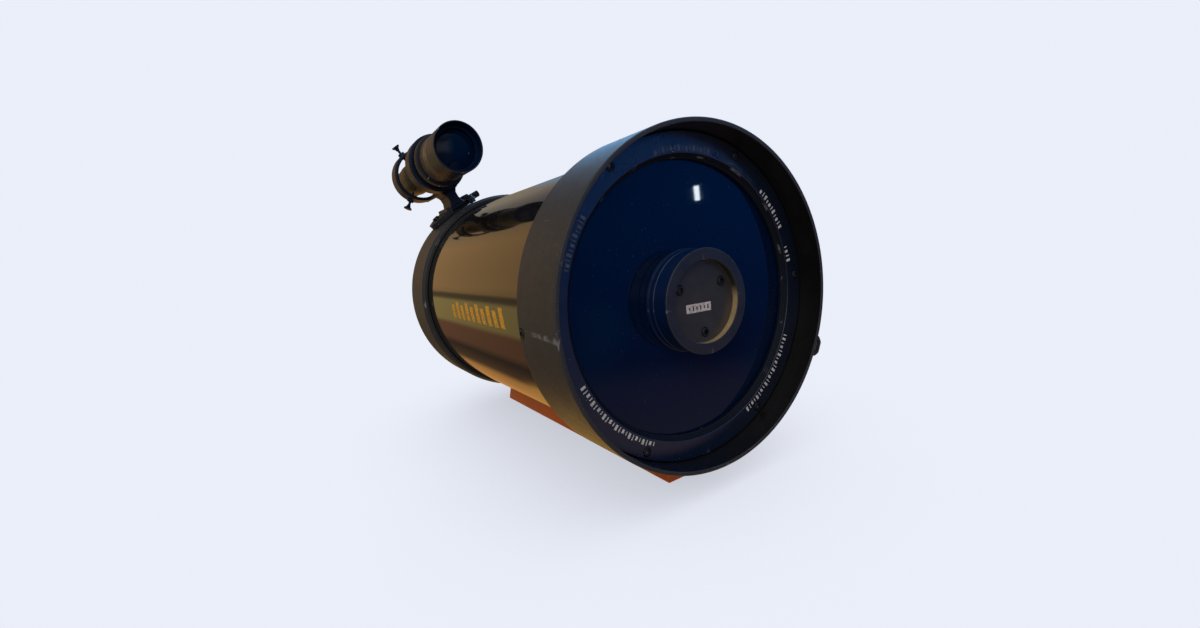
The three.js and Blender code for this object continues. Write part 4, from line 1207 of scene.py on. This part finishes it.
# What the shiny surfaces reflect: angle round the tube's axis (degrees from +X to +Z) and colour.
# Far along the tube, which is what the gloss barrel shows: ceiling, warm wall, a rail, an olive sofa,
# a maroon chair, the dark under the table and the table's lit edge.
ALONG = (
    (0, (0.09, 0.07, 0.045)),
    (28, (0.11, 0.085, 0.055)),
    (48, (0.135, 0.115, 0.09)),
    (72, (0.07, 0.06, 0.05)),
    (95, (0.17, 0.11, 0.055)),
    (112, (0.25, 0.145, 0.06)),
    (166, (0.26, 0.15, 0.06)),
    (173, (0.22, 0.13, 0.05)),
    (176, (0.07, 0.05, 0.025)),
    (181, (0.07, 0.05, 0.025)),
    (185, (0.23, 0.17, 0.06)),
    (213, (0.20, 0.145, 0.05)),
    (219, (0.11, 0.05, 0.026)),
    (240, (0.09, 0.042, 0.022)),
    (250, (0.025, 0.016, 0.011)),
    (270, (0.05, 0.028, 0.013)),
    (280, (0.24, 0.11, 0.03)),
    (315, (0.25, 0.115, 0.032)),
    (345, (0.15, 0.10, 0.06)),
)
# The same nearer the front, where the sky through a window is in the top.
NEARER = (
    (0, (0.03, 0.045, 0.065)),
    (15, (0.035, 0.05, 0.08)),
    (30, (0.075, 0.12, 0.17)),
    (46, (0.13, 0.10, 0.08)),
    (72, (0.06, 0.06, 0.07)),
    (112, (0.23, 0.145, 0.07)),
    (172, (0.21, 0.13, 0.055)),
    (215, (0.20, 0.14, 0.05)),
    (240, (0.09, 0.042, 0.022)),
    (252, (0.02, 0.0135, 0.011)),
    (262, (0.06, 0.03, 0.012)),
    (275, (0.30, 0.15, 0.035)),
    (315, (0.21, 0.10, 0.025)),
    (345, (0.10, 0.08, 0.06)),
)
# Off to the side: what the matt front cell shows.
ASIDE = (
    (0, (0.16, 0.22, 0.30)),
    (25, (0.42, 0.98, 1.75)),
    (48, (0.36, 0.80, 1.36)),
    (72, (0.15, 0.18, 0.25)),
    (100, (0.075, 0.075, 0.090)),
    (190, (0.028, 0.032, 0.042)),
    (225, (0.050, 0.042, 0.038)),
    (252, (0.36, 0.21, 0.060)),
    (285, (0.54, 0.30, 0.065)),
    (320, (0.32, 0.18, 0.07)),
    (345, (0.18, 0.16, 0.15)),
)
# In front: what the glass and the ring show, as height of the direction and colour.
AHEAD = (
    (-1.0, (0.085, 0.070, 0.065)),
    (-0.42, (0.070, 0.052, 0.058)),
    (-0.31, (0.046, 0.034, 0.056)),
    (-0.26, (0.010, 0.012, 0.045)),
    (-0.14, (0.004, 0.018, 0.090)),
    (0.0, (0.001, 0.028, 0.130)),
    (0.14, (0.001, 0.034, 0.155)),
    (0.5, (0.030, 0.080, 0.220)),
    (1.0, (0.15, 0.20, 0.30)),
)
TEAL = (0.002, 0.090, 0.190)  # faint blotches in the glass
# In front to the left, out of the glass's sight: two soft panels over a warm floor, as height from 0 to 1
# and colour.
SOFT_PANELS = (
    (0.0, (0.10, 0.085, 0.07)),
    (0.40, (0.06, 0.055, 0.055)),
    (0.53, (0.07, 0.07, 0.075)),
    (0.60, (0.42, 0.43, 0.45)),
    (0.68, (0.42, 0.43, 0.45)),
    (0.74, (0.10, 0.105, 0.115)),
    (0.86, (0.30, 0.32, 0.35)),
    (1.0, (0.30, 0.32, 0.35)),
)
ROOM_STRENGTH = 2.6
SOFT_LIGHT = (0.30, 0.31, 0.34)  # what the matt surfaces receive from all round


def stops_round(table):
    return [(angle / 360, color) for angle, color in table]


def room_world():
    """A plain pale backdrop for the camera, and a dim room for the reflections."""
    world = bpy.data.worlds.new("room")
    bpy.context.scene.world = world
    world.use_nodes = True
    n = Nodes(world.node_tree)
    n.tree.nodes.clear()
    direction = n.add("TexCoord", output=0)
    x, y, z = n.xyz(direction)
    turn = n.math("FRACT", n.math("MULTIPLY", n.math("ARCTAN2", z, x), 1 / (2 * math.pi)))
    along = n.ramp(turn, stops_round(ALONG))
    nearer = n.ramp(turn, stops_round(NEARER))
    aside = n.ramp(turn, stops_round(ASIDE))
    height = n.math("MULTIPLY", n.math("ADD", z, 1.0), 0.5)
    ahead = n.ramp(height, [((h + 1) / 2, color) for h, color in AHEAD])
    blotches = n.between(n.noise(2.6, 2.0, direction), 0.54, 0.72)
    ahead = n.mix(n.math("MULTIPLY", blotches, 0.3), ahead, TEAL)
    ahead = n.mix(n.between(x, 0.05, 0.32), n.ramp(height, SOFT_PANELS), ahead)
    behind = n.mix(n.between(y, 0.872, 0.90), nearer, along)
    behind = n.mix(n.between(y, 0.835, 0.862), aside, behind)
    room = n.mix(n.between(y, -0.35, 0.15), ahead, behind)
    room = n.mix(window_mask(n, direction), room, WINDOW_LIGHT)
    rays = n.tree.nodes.new("ShaderNodeLightPath").outputs
    light = n.mix(rays["Is Glossy Ray"], SOFT_LIGHT, n.mix(1.0, room, (ROOM_STRENGTH,) * 3, "MULTIPLY"))
    color = n.mix(rays["Is Camera Ray"], light, PALE)
    surface = n.add("Background", {"Color": color})
    n.tree.links.new(surface, n.tree.nodes.new("ShaderNodeOutputWorld").inputs[0])


WINDOW_TOWARDS = Vector((0.693, -0.720, 0.040))  # the bright window that the glass reflects
WINDOW_HALF = (0.0046, 0.0135)
WINDOW_LIGHT = (7.0, 7.4, 7.8)


def window_mask(n, direction):
    """1 inside a small upright window, 0 outside."""
    side = WINDOW_TOWARDS.cross(Vector((0, 0, 1))).normalized()
    up = side.cross(WINDOW_TOWARDS).normalized()
    inside = []
    for axis, half in ((side, WINDOW_HALF[0]), (up, WINDOW_HALF[1])):
        offset = n.add("VectorMath", {0: direction, 1: axis}, output=1, operation="DOT_PRODUCT")
        centre = axis.dot(WINDOW_TOWARDS)
        inside.append(n.math("LESS_THAN", n.math("ABSOLUTE", n.math("SUBTRACT", offset, centre)), half))
    facing = n.add("VectorMath", {0: direction, 1: WINDOW_TOWARDS}, output=1, operation="DOT_PRODUCT")
    return n.math("MULTIPLY", n.math("MULTIPLY", *inside), n.math("GREATER_THAN", facing, 0.5))


def soft_light(name, place, target, size, power, color):
    """A soft studio panel, unseen by the camera."""
    data = bpy.data.lights.new(name, "AREA")
    data.shape = "DISK"
    data.size = size
    data.energy = power
    data.color = color
    panel = bpy.data.objects.new(name, data)
    bpy.context.scene.collection.objects.link(panel)
    panel.location = place
    panel.rotation_euler = (Vector(target) - Vector(place)).to_track_quat("-Z", "Y").to_euler()
    panel.visible_camera = False
    panel.visible_glossy = False


def camera():
    """At the height and side from which the telescope is usually shown: front left, a little above."""
    data = bpy.data.cameras.new("camera")
    data.sensor_width = 36
    data.lens = 15.132
    data.shift_x = 0.0284
    data.shift_y = 0.0095
    data.clip_start = 0.01
    right = Vector((0.8626, -0.4836, -0.1484))
    up = Vector((0.2138, 0.0827, 0.9734))
    back = Vector((-0.4585, -0.8714, 0.1747))
    made = bpy.data.objects.new("camera", data)
    bpy.context.scene.collection.objects.link(made)
    turn = Matrix((right, up, back)).transposed().to_4x4()
    made.matrix_world = Matrix.Translation((-0.1898, RIM_Y - 0.1944, AXIS_Z + 0.0454)) @ turn
    bpy.context.scene.camera = made


pale_floor()
room_world()
soft_light("key", (-0.5, -0.55, 0.75), (0, 0, 0.1), 0.7, 5.0, (1.0, 0.98, 0.96))
soft_light("fill", (0.8, 0.3, 0.5), (0, 0, 0.1), 0.8, 4.0, (0.95, 0.97, 1.0))
camera()
bpy.context.scene.view_settings.view_transform = "Standard"
